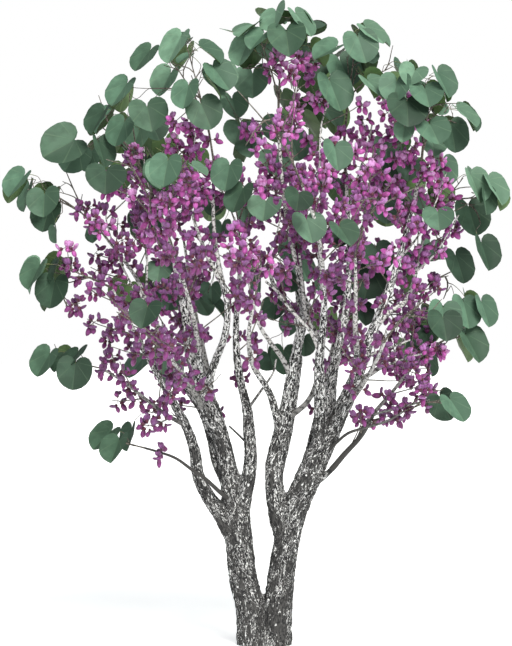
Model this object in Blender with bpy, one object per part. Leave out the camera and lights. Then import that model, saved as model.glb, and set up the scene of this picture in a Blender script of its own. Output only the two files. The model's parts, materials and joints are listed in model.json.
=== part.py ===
"""A western redbud in flower: a small tree on two leaning stems that fork just above the ground.

The trunk is a short fork with a flat cut at ground level. Every limb is one tapering curve from its
parent to a tip, and every mass of leaves and blossom grows from one limb's tip by a seeded rule.
Sizes are in metres, +Z is up, and the origin is on the ground between the two stems.
"""

import math
import random
from dataclasses import dataclass

import bmesh
import bpy
import numpy as np
from mathutils import Quaternion, Vector
from mathutils.bvhtree import BVHTree

# Clearance between neighbouring pieces.
GAP = 0.0003
# The stems start this far under the ground and are cut flat at it, by a cube of this size.
BELOW_GROUND = 0.04
GROUND_CUTTER = 2.0
# Spacing of the rings along a limb and along the fork, and the straight stretch before a cut face.
LIMB_SPACING = 0.16
FORK_SPACING = 0.09
STRAIGHT_END = 0.02
# Boughs that leave their parent within this height of each other are cut clear of each other.
BESIDE = 0.2
# Edges sharper than this stay creased.
CREASE = math.radians(40.0)
# Height up to which both stems belong to the trunk's fork.
FORK_HEIGHT = 0.27
# Root flare: extra radius at the ground, and the height over which it fades.
FLARE = 0.005
FLARE_HEIGHT = 0.05
# Faces round a stem, a bough and a thin bough, as bevel resolutions. A thin bough starts under a radius.
STEM_ROUNDNESS = 3
BOUGH_ROUNDNESS = 2
THIN_ROUNDNESS = 1
THIN_UNDER = 0.018

UP = Vector((0.0, 0.0, 1.0))
# Middle of the crown, which leaves face away from.
CROWN_MIDDLE = Vector((0.0, 0.0, 1.35))
GOLDEN_ANGLE = math.pi * (3.0 - math.sqrt(5.0))

LEAF_WIDTH = 0.142
LEAF_THICKNESS = 0.004
PETIOLE = 0.058
PETIOLE_RADIUS = 0.0012
# Distance between the leaves at a twig's end, and how often a leaf that touches something is tried again.
LEAF_STEP = 0.03
LAST_LEAF = 0.97
LEAF_TRIES = 50
# Least share of its stalk's direction that a blade keeps, so that the stalk never turns inside out.
LEAST_ONWARD = 0.2
BLOSSOM_LENGTH = 0.075
BLOSSOM_RADIUS = 0.027
BLOSSOM_SPACING = 0.19
BLOSSOM_CLEARANCE = 0.031
# Share of a cluster's length where it is widest, and how deep its root sits in the twig.
BLOSSOM_WAIST = 0.6
BLOSSOM_SUNK = 0.002
# Which point of a cluster's mesh is its root.
BLOSSOM_ROOT = 3
LEADER_TIP_RADIUS = 0.0054
# A shoot's foot is small enough to end inside its leader.
SHOOT_FOOT_RADIUS = 0.0022
SHOOT_RADIUS = 0.0048
SHOOT_TIP_RADIUS = 0.0036
# Start of the growth's seeds, one for each mass.
SEED = 1101
# How far leaves may hang out past the ball that a mass's twigs fill.
OVERHANG = 0.045
# Room that a mass keeps to its neighbours' spaces, and leaves and twigs to every limb.
SPACE_MARGIN = 0.004
LEAF_CLEARANCE = 0.017
TWIG_CLEARANCE = 0.007

# Half of a leaf's outline, from its notch round one lobe to its tip, as shares of its width.
LEAF_OUTLINE = ((0.02, 0.0), (0.27, -0.15), (0.5, 0.22), (0.34, 0.60), (0.0, 0.84))
LEAF_CENTRE = 0.33
# How far above or below the notch the back of the stalk's collar sits.
COLLAR_DEPTH = 0.03


@dataclass(frozen=True)
class Limb:
    """One tapering limb.

    It starts on its parent's centre line at a height and runs through the given points, the last of which is
    its tip. Its radii are evenly spread from its start to its tip.
    """

    name: str
    parent: str
    from_height: float
    radii: tuple
    through: tuple


@dataclass(frozen=True)
class Mass:
    """One mass of twigs, leaves and blossom: the limb that it ends, and the ball that it fills."""

    name: str
    limb: str
    centre: tuple
    reach: float
    shoots: int


LIMBS = (
    Limb(
        "left_stem",
        parent="",
        from_height=-BELOW_GROUND,
        radii=(0.057, 0.057, 0.055, 0.054, 0.034, 0.03, 0.026, 0.019, 0.014, 0.011, 0.009),
        through=(
            (-0.06, 0.0, 0.148), (-0.087, 0.0, 0.26), (-0.101, 0.0, 0.388), (-0.115, 0.0, 0.524),
            (-0.138, 0.0, 0.648), (-0.161, 0.005, 0.757), (-0.2, 0.01, 0.897), (-0.235, 0.015, 0.974),
            (-0.27, 0.02, 1.056), (-0.293, 0.03, 1.134), (-0.309, 0.04, 1.254), (-0.336, 0.05, 1.398),
            (-0.378, 0.065, 1.572), (-0.448, 0.08, 1.766),
        ),
    ),
    Limb(
        "right_stem",
        parent="",
        from_height=-BELOW_GROUND,
        radii=(0.057, 0.056, 0.052, 0.05, 0.05, 0.033, 0.026, 0.018, 0.0155, 0.0125, 0.009),
        through=(
            (0.049, 0.0, 0.148), (0.06, 0.0, 0.26), (0.076, 0.0, 0.369), (0.107, 0.0, 0.505),
            (0.153, -0.005, 0.621), (0.215, -0.01, 0.757), (0.268, -0.015, 0.858),
            (0.34, -0.02, 1.013), (0.398, -0.025, 1.172), (0.46, -0.03, 1.332), (0.514, -0.03, 1.491),
            (0.565, -0.035, 1.681), (0.6, -0.04, 1.84),
        ),
    ),
    Limb(
        "left_outer_bough",
        parent="left_stem",
        from_height=0.388,
        radii=(0.036, 0.029, 0.021, 0.014, 0.011, 0.007),
        through=(
            (-0.169, -0.01, 0.501), (-0.227, -0.015, 0.586), (-0.262, -0.02, 0.66),
            (-0.274, -0.03, 0.749), (-0.309, -0.04, 0.854), (-0.367, -0.05, 0.959),
            (-0.433, -0.055, 1.079), (-0.51, -0.06, 1.219), (-0.592, -0.06, 1.378),
        ),
    ),
    Limb(
        "left_inner_bough",
        parent="left_stem",
        from_height=0.485,
        radii=(0.034, 0.028, 0.024, 0.016, 0.014, 0.011, 0.008),
        through=(
            (-0.087, -0.01, 0.563), (-0.068, -0.012, 0.648), (-0.058, -0.01, 0.738),
            (-0.064, 0.0, 0.835), (-0.072, 0.01, 0.92), (-0.095, 0.02, 1.013), (-0.111, 0.03, 1.114),
            (-0.115, 0.035, 1.242), (-0.103, 0.03, 1.39), (-0.099, 0.03, 1.53),
        ),
    ),
    Limb(
        "left_cross_bough",
        parent="left_stem",
        from_height=0.92,
        radii=(0.02, 0.015, 0.012, 0.009, 0.007),
        through=(
            (-0.219, 0.0, 1.017), (-0.192, -0.015, 1.11), (-0.157, -0.03, 1.203),
            (-0.149, -0.035, 1.32), (-0.177, -0.04, 1.448), (-0.2, -0.045, 1.619),
            (-0.2, -0.06, 1.863),
        ),
    ),
    Limb(
        "left_high_bough",
        parent="left_stem",
        from_height=0.563,
        radii=(0.022, 0.018, 0.014, 0.01, 0.008, 0.006),
        through=(
            (-0.188, 0.03, 0.699), (-0.219, 0.045, 0.819), (-0.25, 0.05, 0.905), (-0.305, 0.055, 0.99),
            (-0.371, 0.055, 1.106), (-0.429, 0.055, 1.254), (-0.507, 0.05, 1.429),
            (-0.627, 0.05, 1.588),
        ),
    ),
    Limb(
        "left_front_bough",
        parent="left_stem",
        from_height=0.796,
        radii=(0.018, 0.012, 0.008, 0.006),
        through=(
            (-0.231, -0.07, 0.893), (-0.274, -0.17, 0.998), (-0.332, -0.28, 1.083),
            (-0.39, -0.36, 1.149),
        ),
    ),
    Limb(
        "left_front_high_bough",
        parent="left_stem",
        from_height=1.029,
        radii=(0.016, 0.011, 0.008, 0.006),
        through=(
            (-0.254, -0.07, 1.099), (-0.27, -0.19, 1.242), (-0.301, -0.32, 1.378),
            (-0.332, -0.42, 1.491),
        ),
    ),
    Limb(
        "left_back_bough",
        parent="left_stem",
        from_height=0.505,
        radii=(0.028, 0.022, 0.016, 0.01, 0.006),
        through=(
            (-0.118, 0.07, 0.602), (-0.153, 0.19, 0.738), (-0.215, 0.32, 0.912), (-0.262, 0.41, 1.087),
            (-0.289, 0.46, 1.219),
        ),
    ),
    Limb(
        "left_back_high_bough",
        parent="left_back_bough",
        from_height=0.873,
        radii=(0.015, 0.011, 0.008, 0.006),
        through=(
            (-0.231, 0.32, 1.048), (-0.285, 0.38, 1.3), (-0.328, 0.42, 1.568),
        ),
    ),
    Limb(
        "left_spray_bough",
        parent="left_outer_bough",
        from_height=0.854,
        radii=(0.009, 0.0065, 0.0045),
        through=(
            (-0.378, -0.07, 0.893), (-0.464, -0.085, 0.959), (-0.549, -0.095, 1.025),
            (-0.623, -0.1, 1.071),
        ),
    ),
    Limb(
        "left_low_bough",
        parent="left_stem",
        from_height=0.551,
        radii=(0.01, 0.008, 0.006, 0.0045),
        through=(
            (-0.169, -0.055, 0.59), (-0.235, -0.08, 0.652), (-0.281, -0.085, 0.683),
            (-0.347, -0.09, 0.73), (-0.421, -0.1, 0.757), (-0.464, -0.1, 0.769),
        ),
    ),
    Limb(
        "centre_bough",
        parent="right_stem",
        from_height=0.408,
        radii=(0.038, 0.037, 0.037, 0.03, 0.0215, 0.02, 0.013, 0.012, 0.011, 0.01, 0.009),
        through=(
            (0.052, 0.0, 0.505), (0.037, 0.0, 0.602), (0.035, 0.0, 0.699), (0.056, 0.0, 0.796),
            (0.083, 0.0, 0.92), (0.103, 0.0, 1.056), (0.13, 0.0, 1.184), (0.146, 0.0, 1.293),
            (0.13, 0.0, 1.429), (0.099, 0.0, 1.572), (0.068, 0.0, 1.766), (0.052, 0.0, 1.98),
        ),
    ),
    Limb(
        "centre_left_bough",
        parent="centre_bough",
        from_height=0.815,
        radii=(0.018, 0.015, 0.011, 0.008, 0.006),
        through=(
            (0.021, -0.05, 0.967), (-0.014, -0.09, 1.029), (-0.052, -0.15, 1.099),
            (-0.064, -0.26, 1.211), (-0.041, -0.36, 1.339),
        ),
    ),
    Limb(
        "centre_back_bough",
        parent="centre_bough",
        from_height=0.648,
        radii=(0.025, 0.02, 0.014, 0.01, 0.007),
        through=(
            (0.072, 0.07, 0.769), (0.111, 0.17, 0.951), (0.138, 0.26, 1.184), (0.126, 0.33, 1.456),
            (0.111, 0.36, 1.669), (0.099, 0.38, 1.84),
        ),
    ),
    Limb(
        "right_inner_bough",
        parent="right_stem",
        from_height=0.71,
        radii=(0.028, 0.026, 0.017, 0.012, 0.009, 0.007),
        through=(
            (0.212, -0.035, 0.835), (0.21, -0.055, 0.971), (0.208, -0.08, 1.106),
            (0.223, -0.13, 1.281), (0.215, -0.2, 1.456), (0.192, -0.28, 1.611), (0.134, -0.36, 1.766),
        ),
    ),
    Limb(
        "right_mid_bough",
        parent="right_stem",
        from_height=0.765,
        radii=(0.027, 0.022, 0.017, 0.013, 0.01, 0.008),
        through=(
            (0.247, 0.035, 0.905), (0.266, 0.055, 1.06), (0.301, 0.06, 1.223), (0.32, 0.06, 1.351),
            (0.328, 0.055, 1.514), (0.32, 0.055, 1.708), (0.309, 0.06, 1.96),
        ),
    ),
    Limb(
        "right_fork_bough",
        parent="right_stem",
        from_height=1.231,
        radii=(0.012, 0.009, 0.007, 0.0055),
        through=(
            (0.479, -0.02, 1.293), (0.538, -0.01, 1.328), (0.573, 0.0, 1.401), (0.6, 0.01, 1.514),
            (0.639, 0.02, 1.669),
        ),
    ),
    Limb(
        "right_side_bough",
        parent="right_stem",
        from_height=0.971,
        radii=(0.013, 0.009, 0.007, 0.0055),
        through=(
            (0.378, 0.0, 1.033), (0.429, 0.03, 1.064), (0.495, 0.07, 1.118), (0.561, 0.11, 1.211),
            (0.619, 0.14, 1.37),
        ),
    ),
    Limb(
        "right_front_bough",
        parent="right_stem",
        from_height=0.835,
        radii=(0.018, 0.012, 0.008, 0.006),
        through=(
            (0.316, -0.1, 0.936), (0.375, -0.21, 1.029), (0.413, -0.32, 1.106), (0.441, -0.4, 1.18),
        ),
    ),
    Limb(
        "right_front_high_bough",
        parent="right_stem",
        from_height=1.009,
        radii=(0.016, 0.011, 0.008, 0.006),
        through=(
            (0.351, -0.08, 1.106), (0.34, -0.21, 1.242), (0.336, -0.34, 1.378), (0.33, -0.44, 1.491),
        ),
    ),
    Limb(
        "right_back_bough",
        parent="right_stem",
        from_height=0.582,
        radii=(0.028, 0.022, 0.016, 0.01, 0.006),
        through=(
            (0.161, 0.08, 0.679), (0.2, 0.2, 0.835), (0.247, 0.33, 1.009), (0.297, 0.43, 1.145),
            (0.328, 0.48, 1.219),
        ),
    ),
    Limb(
        "right_back_high_bough",
        parent="right_back_bough",
        from_height=0.893,
        radii=(0.015, 0.011, 0.008, 0.006),
        through=(
            (0.254, 0.33, 1.06), (0.316, 0.4, 1.32), (0.371, 0.44, 1.568),
        ),
    ),
    Limb(
        "right_low_bough",
        parent="right_stem",
        from_height=0.594,
        radii=(0.014, 0.012, 0.01, 0.008, 0.0065, 0.0055),
        through=(
            (0.235, -0.045, 0.664), (0.305, -0.07, 0.745), (0.371, -0.075, 0.819),
            (0.421, -0.07, 0.905), (0.483, -0.04, 0.974), (0.542, 0.0, 1.044), (0.6, 0.04, 1.11),
        ),
    ),
    Limb(
        "right_lower_bough",
        parent="right_stem",
        from_height=0.71,
        radii=(0.008, 0.006, 0.005, 0.0045),
        through=(
            (0.274, -0.055, 0.788), (0.32, -0.09, 0.827), (0.39, -0.115, 0.85), (0.464, -0.12, 0.873),
            (0.526, -0.11, 0.908),
        ),
    ),
)

MASSES = (
    Mass("upper_left_leaves", "left_stem", (-0.57, 0.10, 1.97), 0.25, 5),
    Mass("top_left_leaves", "left_cross_bough", (-0.27, -0.07, 2.14), 0.27, 5),
    Mass("inner_left_blossom", "left_inner_bough", (-0.12, 0.04, 1.70), 0.20, 4),
    Mass("left_middle_leaves", "left_outer_bough", (-0.76, -0.08, 1.39), 0.18, 4),
    Mass("left_high_leaves", "left_high_bough", (-0.80, 0.04, 1.73), 0.21, 4),
    Mass("left_front_low_leaves", "left_front_bough", (-0.49, -0.54, 1.27), 0.22, 4),
    Mass("left_front_high_leaves", "left_front_high_bough", (-0.41, -0.60, 1.71), 0.26, 5),
    Mass("left_back_low_leaves", "left_back_bough", (-0.45, 0.62, 1.33), 0.24, 4),
    Mass("left_back_high_leaves", "left_back_high_bough", (-0.41, 0.62, 1.77), 0.27, 5),
    Mass("left_spray_leaves", "left_spray_bough", (-0.74, -0.10, 1.07), 0.14, 3),
    Mass("left_low_leaves", "left_low_bough", (-0.55, -0.12, 0.79), 0.14, 3),
    Mass("upper_right_leaves", "right_stem", (0.60, -0.04, 2.03), 0.24, 5),
    Mass("top_centre_leaves", "centre_bough", (0.06, 0.00, 2.22), 0.27, 5),
    Mass("front_middle_leaves", "centre_left_bough", (-0.02, -0.56, 1.47), 0.21, 4),
    Mass("top_back_leaves", "centre_back_bough", (0.10, 0.48, 2.04), 0.28, 4),
    Mass("top_front_leaves", "right_inner_bough", (0.03, -0.50, 1.97), 0.26, 5),
    Mass("top_right_leaves", "right_mid_bough", (0.35, 0.07, 2.19), 0.26, 5),
    Mass("right_high_leaves", "right_fork_bough", (0.77, 0.02, 1.70), 0.19, 4),
    Mass("right_middle_leaves", "right_side_bough", (0.70, 0.20, 1.42), 0.16, 3),
    Mass("right_front_low_leaves", "right_front_bough", (0.52, -0.54, 1.28), 0.22, 4),
    Mass("right_front_high_leaves", "right_front_high_bough", (0.43, -0.60, 1.71), 0.26, 5),
    Mass("right_back_low_leaves", "right_back_bough", (0.49, 0.62, 1.33), 0.24, 4),
    Mass("right_back_high_leaves", "right_back_high_bough", (0.47, 0.62, 1.77), 0.27, 5),
    Mass("right_low_leaves", "right_low_bough", (0.75, 0.04, 1.20), 0.17, 3),
    Mass("right_lower_leaves", "right_lower_bough", (0.67, -0.12, 0.95), 0.13, 3),
)

# Masses that hold blossom and no leaves.
IN_BLOSSOM = ("inner_left_blossom",)

STEM_FEET = {"left_stem": (-0.048, 0.0, -BELOW_GROUND), "right_stem": (0.039, 0.0, -BELOW_GROUND)}


class Path:
    """The smooth centre line of a limb, and its radius along it."""

    def __init__(self, limb, start):
        self.limb = limb
        self.knots = [Vector(start)] + [Vector(place) for place in limb.through]
        spans = [(b - a).length for a, b in zip(self.knots, self.knots[1:])]
        self.places = [sum(spans[:i]) for i in range(len(self.knots))]
        self.length = self.places[-1]
        self.tip = self.knots[-1]

    def slope(self, i):
        """Direction of the line at a knot, per metre of its length."""
        low, high = max(0, i - 1), min(len(self.knots) - 1, i + 1)
        return (self.knots[high] - self.knots[low]) / (self.places[high] - self.places[low])

    def point(self, share):
        """The point at a share of the way from the limb's start to its tip."""
        place = min(1.0, max(0.0, share)) * self.length
        i = max(0, min(len(self.knots) - 2, sum(1 for knot in self.places if knot <= place) - 1))
        span = self.places[i + 1] - self.places[i]
        t = (place - self.places[i]) / span
        start, end = self.knots[i], self.knots[i + 1]
        leaving, arriving = self.slope(i) * span, self.slope(i + 1) * span
        blend = t * t * (3.0 - 2.0 * t)
        return start.lerp(end, blend) + leaving * t * (1.0 - t) ** 2 - arriving * t * t * (1.0 - t)

    def tangent(self, share):
        """The direction at a share of the way."""
        step = 0.004
        return (self.point(share + step) - self.point(share - step)).normalized()

    def radius(self, share):
        """The radius at a share of the way. A stem also flares at the ground."""
        radii = self.limb.radii
        place = min(1.0, max(0.0, share)) * (len(radii) - 1)
        i = min(len(radii) - 2, int(place))
        radius = radii[i] + (radii[i + 1] - radii[i]) * (place - i)
        if not self.limb.parent:
            radius += FLARE * math.exp(-max(0.0, self.point(share).z) / FLARE_HEIGHT)
        return radius

    def share_at(self, height):
        """The share of the way at which a rising limb reaches a height."""
        low, high = 0.0, 1.0
        for _ in range(30):
            middle = (low + high) / 2.0
            if self.point(middle).z < height:
                low = middle
            else:
                high = middle
        return low


def build_paths():
    """The path of every limb, by name."""
    paths = {}
    for limb in LIMBS:
        if limb.parent:
            parent = paths[limb.parent]
            start = parent.point(parent.share_at(limb.from_height))
        else:
            start = STEM_FEET[limb.name]
        paths[limb.name] = Path(limb, start)
    return paths


def shares_between(path, first, last, spacing):
    """Evenly spaced shares from first to last, about a spacing apart along the limb."""
    fewest = 3
    count = max(fewest, round(path.length * (last - first) / spacing))
    return [first + (last - first) * i / count for i in range(count + 1)]


def path_points(path, first=0.0, last=1.0, spacing=LIMB_SPACING):
    """Points and radii along a limb. The end stretches are straight, so that cut faces meet square."""
    shares = shares_between(path, first, last, spacing)
    rows = [(path.point(s), path.radius(s)) for s in shares[1:-1]]
    low, high = path.point(first), path.point(last)
    if first > 0.0:
        along = path.tangent(first)
        head = [(low + along * GAP, path.radius(first)), (low + along * STRAIGHT_END, path.radius(first))]
    else:
        head = [(low, path.radius(first))]
    tail = [(high - path.tangent(last) * STRAIGHT_END, path.radius(last)), (high, path.radius(last))]
    return head + rows + tail


def fork_points(path):
    """Points and radii of the part of a stem that belongs to the trunk's fork."""
    return path_points(path, 0.0, path.share_at(FORK_HEIGHT), FORK_SPACING)


def tube(name, rows, roundness, collection, grow=0.0):
    """A closed tapering tube through rows of (point, radius), as a mesh with welded caps."""
    curve = bpy.data.curves.new(name, "CURVE")
    curve.dimensions = "3D"
    curve.bevel_depth = 1.0
    curve.bevel_resolution = roundness
    curve.use_fill_caps = True
    spline = curve.splines.new("POLY")
    spline.points.add(len(rows) - 1)
    for point, (place, radius) in zip(spline.points, rows):
        point.co = (*place, 1.0)
        point.radius = radius + grow
    holder = bpy.data.objects.new(name, curve)
    collection.objects.link(holder)
    mesh = bpy.data.meshes.new_from_object(evaluated(holder))
    bpy.data.objects.remove(holder)
    weld(mesh)
    limb = bpy.data.objects.new(name, mesh)
    collection.objects.link(limb)
    return limb


def evaluated(obj):
    """The object with its modifiers, as the viewport shows it."""
    return obj.evaluated_get(bpy.context.evaluated_depsgraph_get())


def weld(mesh, within=1e-5):
    """Joins a mesh's coinciding points and turns its faces outwards."""
    work = bmesh.new()
    work.from_mesh(mesh)
    bmesh.ops.remove_doubles(work, verts=work.verts, dist=within)
    bmesh.ops.recalc_face_normals(work, faces=work.faces)
    work.to_mesh(mesh)
    work.free()


def boolean(obj, operation, solver, other=None, collection=None):
    """Joins or cuts obj by an object or a collection, and applies the result."""
    modifier = obj.modifiers.new(operation.lower(), "BOOLEAN")
    modifier.operation = operation
    modifier.solver = solver
    if collection:
        modifier.operand_type = "COLLECTION"
        modifier.collection = collection
    else:
        modifier.object = other
    mesh = bpy.data.meshes.new_from_object(evaluated(obj))
    obj.modifiers.remove(modifier)
    obj.data = mesh


def keep_largest_shell(obj):
    """Drops loose scraps and fills sealed hollows, by keeping only the shell with the most faces."""
    work = bmesh.new()
    work.from_mesh(obj.data)
    unseen = set(work.faces)
    shells = []
    while unseen:
        front = [unseen.pop()]
        shell = list(front)
        while front:
            for edge in front.pop().edges:
                for face in edge.link_faces if len(edge.link_faces) == 2 else ():
                    if face in unseen:
                        unseen.remove(face)
                        shell.append(face)
                        front.append(face)
        shells.append(shell)
    shells.sort(key=len)
    spare = [face for shell in shells[:-1] for face in shell]
    bmesh.ops.delete(work, geom=spare, context="FACES")
    work.to_mesh(obj.data)
    work.free()


def make_material(name, colour, roughness):
    """A plain opaque finish."""
    material = bpy.data.materials.new(name)
    material.use_nodes = True
    shader = material.node_tree.nodes["Principled BSDF"]
    shader.inputs["Base Color"].default_value = (*colour, 1.0)
    shader.inputs["Roughness"].default_value = roughness
    shader.inputs["Metallic"].default_value = 0.0
    return material


def build_trunk(paths, collection, cutting, material):
    """The fork at the ground: the feet of both stems joined, and cut flat at ground level."""
    trunk = tube("trunk", fork_points(paths["left_stem"]), STEM_ROUNDNESS, collection)
    other = tube("other_foot", fork_points(paths["right_stem"]), STEM_ROUNDNESS, cutting)
    boolean(trunk, "UNION", "EXACT", other)
    bpy.ops.mesh.primitive_cube_add(size=GROUND_CUTTER, location=(0.0, 0.0, -GROUND_CUTTER / 2.0))
    below = bpy.context.object
    boolean(trunk, "DIFFERENCE", "EXACT", below)
    bpy.data.objects.remove(other)
    bpy.data.objects.remove(below)
    finish_node(trunk, material)


def build_limbs(paths, collection, cutting, material):
    """Every limb as its own solid, each cut clear of its parent and of the siblings beside it."""
    cutters = {}
    for limb in LIMBS:
        path = paths[limb.name]
        roundness = roundness_of(limb)
        first = 0.0 if limb.parent else path.share_at(FORK_HEIGHT)
        rows = path_points(path, first)
        obj = tube(limb.name, rows, roundness, collection)
        for cutter in sum((cutters[other.name] for other in neighbours(limb)), []):
            boolean(obj, "DIFFERENCE", "EXACT", cutter)
        keep_largest_shell(obj)
        finish_node(obj, material)
        cutters[limb.name] = [tube(limb.name + "_room", rows, roundness, cutting, grow=2.0 * GAP)]
        if not limb.parent:
            foot = fork_points(path)
            face, radius = foot[-1]
            foot[-1] = (face + path.tangent(first) * 2.0 * GAP, radius)
            cutters[limb.name].append(tube(limb.name + "_foot", foot, roundness, cutting, grow=2.0 * GAP))
    for cutter in sum(cutters.values(), []):
        bpy.data.objects.remove(cutter)


def roundness_of(limb):
    """How round a limb is built, as a bevel resolution."""
    if not limb.parent:
        return STEM_ROUNDNESS
    return THIN_ROUNDNESS if limb.radii[0] < THIN_UNDER else BOUGH_ROUNDNESS


def neighbours(limb):
    """The parent, and the earlier siblings that leave it close by."""
    found = []
    for other in LIMBS:
        if other is limb:
            break
        if other.name == limb.parent:
            found.append(other)
        elif limb.parent and other.parent == limb.parent:
            if abs(other.from_height - limb.from_height) < BESIDE:
                found.append(other)
    return found


def finish_node(obj, material):
    """Gives a solid its material and smooth shading with sharp creases."""
    obj.data.materials.clear()
    obj.data.materials.append(material)
    obj.data.shade_smooth()
    obj.data.set_sharp_from_angle(angle=CREASE)


def add_mesh(name, points, faces, collection):
    """A mesh object from points and faces."""
    mesh = bpy.data.meshes.new(name)
    mesh.from_pydata([tuple(p) for p in points], [], faces)
    obj = bpy.data.objects.new(name, mesh)
    collection.objects.link(obj)
    return obj


class Crown:
    """The spaces of all masses and the room that the limbs take, which leaves and twigs keep clear of."""

    BALL_SPACING = 0.012

    def __init__(self, paths):
        self.centres = np.array([mass.centre for mass in MASSES])
        self.reaches = np.array([mass.reach for mass in MASSES])
        balls = []
        for path in paths.values():
            count = int(path.length / self.BALL_SPACING)
            balls += [(*path.point(i / count), path.radius(i / count)) for i in range(count + 1)]
        self.balls = np.array(balls)

    def in_space(self, points, index):
        """Whether all points lie in a mass's own space, clear of its neighbours' spaces."""
        points = np.asarray(points, float)
        squared = ((points[:, None, :] - self.centres[None]) ** 2).sum(-1)
        if (squared[:, index] > (self.reaches[index] + OVERHANG) ** 2).any():
            return False
        power = squared - self.reaches**2
        apart = np.linalg.norm(self.centres - self.centres[index], axis=1)
        apart[index] = 1.0
        depth = (power - power[:, index : index + 1]) / (2.0 * apart)
        depth[:, index] = 1.0
        return bool((depth > SPACE_MARGIN).all())

    def clear_of_limbs(self, points, clearance):
        """Whether all points keep clear of every limb."""
        points = np.asarray(points, float)
        apart = np.linalg.norm(points[:, None, :] - self.balls[None, :, :3], axis=2)
        return bool((apart - self.balls[:, 3] > clearance).all())


@dataclass
class Twig:
    """A three-sided tapering twig through a few points, with the radius of its foot."""

    points: list
    foot_radius: float
    base_radius: float
    tip_radius: float


@dataclass
class Leaf:
    """A leaf: the root and end of its stalk, the blade's direction and facing, and its width and fold."""

    root: Vector
    notch: Vector
    along: Vector
    facing: Vector
    width: float
    fold: float


@dataclass
class Blossom:
    """A cluster of blossom on a twig: its root and the way that it hangs."""

    root: Vector
    along: Vector
    size: float


def along_points(points, share):
    """The point and direction at a share of a short line of points."""
    place = max(0.0, share * (len(points) - 1))
    i = min(len(points) - 2, int(place))
    step = points[i + 1] - points[i]
    return points[i] + step * (place - i), step.normalized()


def across(direction, angle):
    """A unit vector across a direction, at an angle round it."""
    upright = 0.05
    side = direction.cross(UP)
    if side.length < upright:
        side = direction.cross(Vector((1.0, 0.0, 0.0)))
    side.normalize()
    return side * math.cos(angle) + direction.cross(side) * math.sin(angle)


def leaf_at(root, shoot_direction, side, rng):
    """A leaf whose stalk leaves a shoot to one side, with its blade hanging and facing outwards."""
    flatter, widest_turn, sway, follow = 0.5, 1.1, 0.35, 0.8
    away = root - CROWN_MIDDLE
    away.z *= flatter
    away.normalize()
    facing = Vector((away.x, away.y, 0.0))
    facing.rotate(Quaternion(UP, rng.uniform(-widest_turn, widest_turn)))
    facing.z = rng.uniform(0.15, 0.75)
    facing.normalize()
    stalk = shoot_direction * 0.6 + across(shoot_direction, side) * 0.7 + away * 0.3 + UP * 0.35
    stalk.normalize()
    notch = root + stalk * PETIOLE * rng.uniform(0.8, 1.15)
    along = Vector((rng.uniform(-sway, sway), rng.uniform(-sway, sway), -1.0)) + stalk * follow
    along = (along - facing * along.dot(facing)).normalized()
    width = LEAF_WIDTH * rng.uniform(0.86, 1.08)
    return Leaf(root, notch, along, facing, width, rng.uniform(0.18, 0.55))


def blade_point(leaf, across_share, along_share):
    """A point of a leaf's blade, from shares of its width. Both halves fold up from the midrib."""
    side = leaf.along.cross(leaf.facing)
    rise = abs(across_share) * math.sin(leaf.fold)
    reach = across_share * math.cos(leaf.fold)
    return leaf.notch + (side * reach + leaf.along * along_share + leaf.facing * rise) * leaf.width


def leaf_samples(leaf):
    """Points spread over a blade and its stalk, for the tests against limbs and spaces."""
    blade_reach = 0.56
    samples = [leaf.root.lerp(leaf.notch, 0.5), leaf.notch]
    for u in (-0.5, -0.3, -0.12, 0.12, 0.3, 0.5):
        for v in (-0.12, 0.05, 0.22, 0.4, 0.6, 0.82):
            if math.hypot(u, v - LEAF_CENTRE) < blade_reach:
                samples.append(blade_point(leaf, u, v))
    return samples


def blossom_samples(blossom):
    """Points down the middle of a cluster of blossom."""
    reach = BLOSSOM_LENGTH * blossom.size
    return [blossom.root + blossom.along * reach * s for s in (0.4, 0.75, 1.0)]


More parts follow.
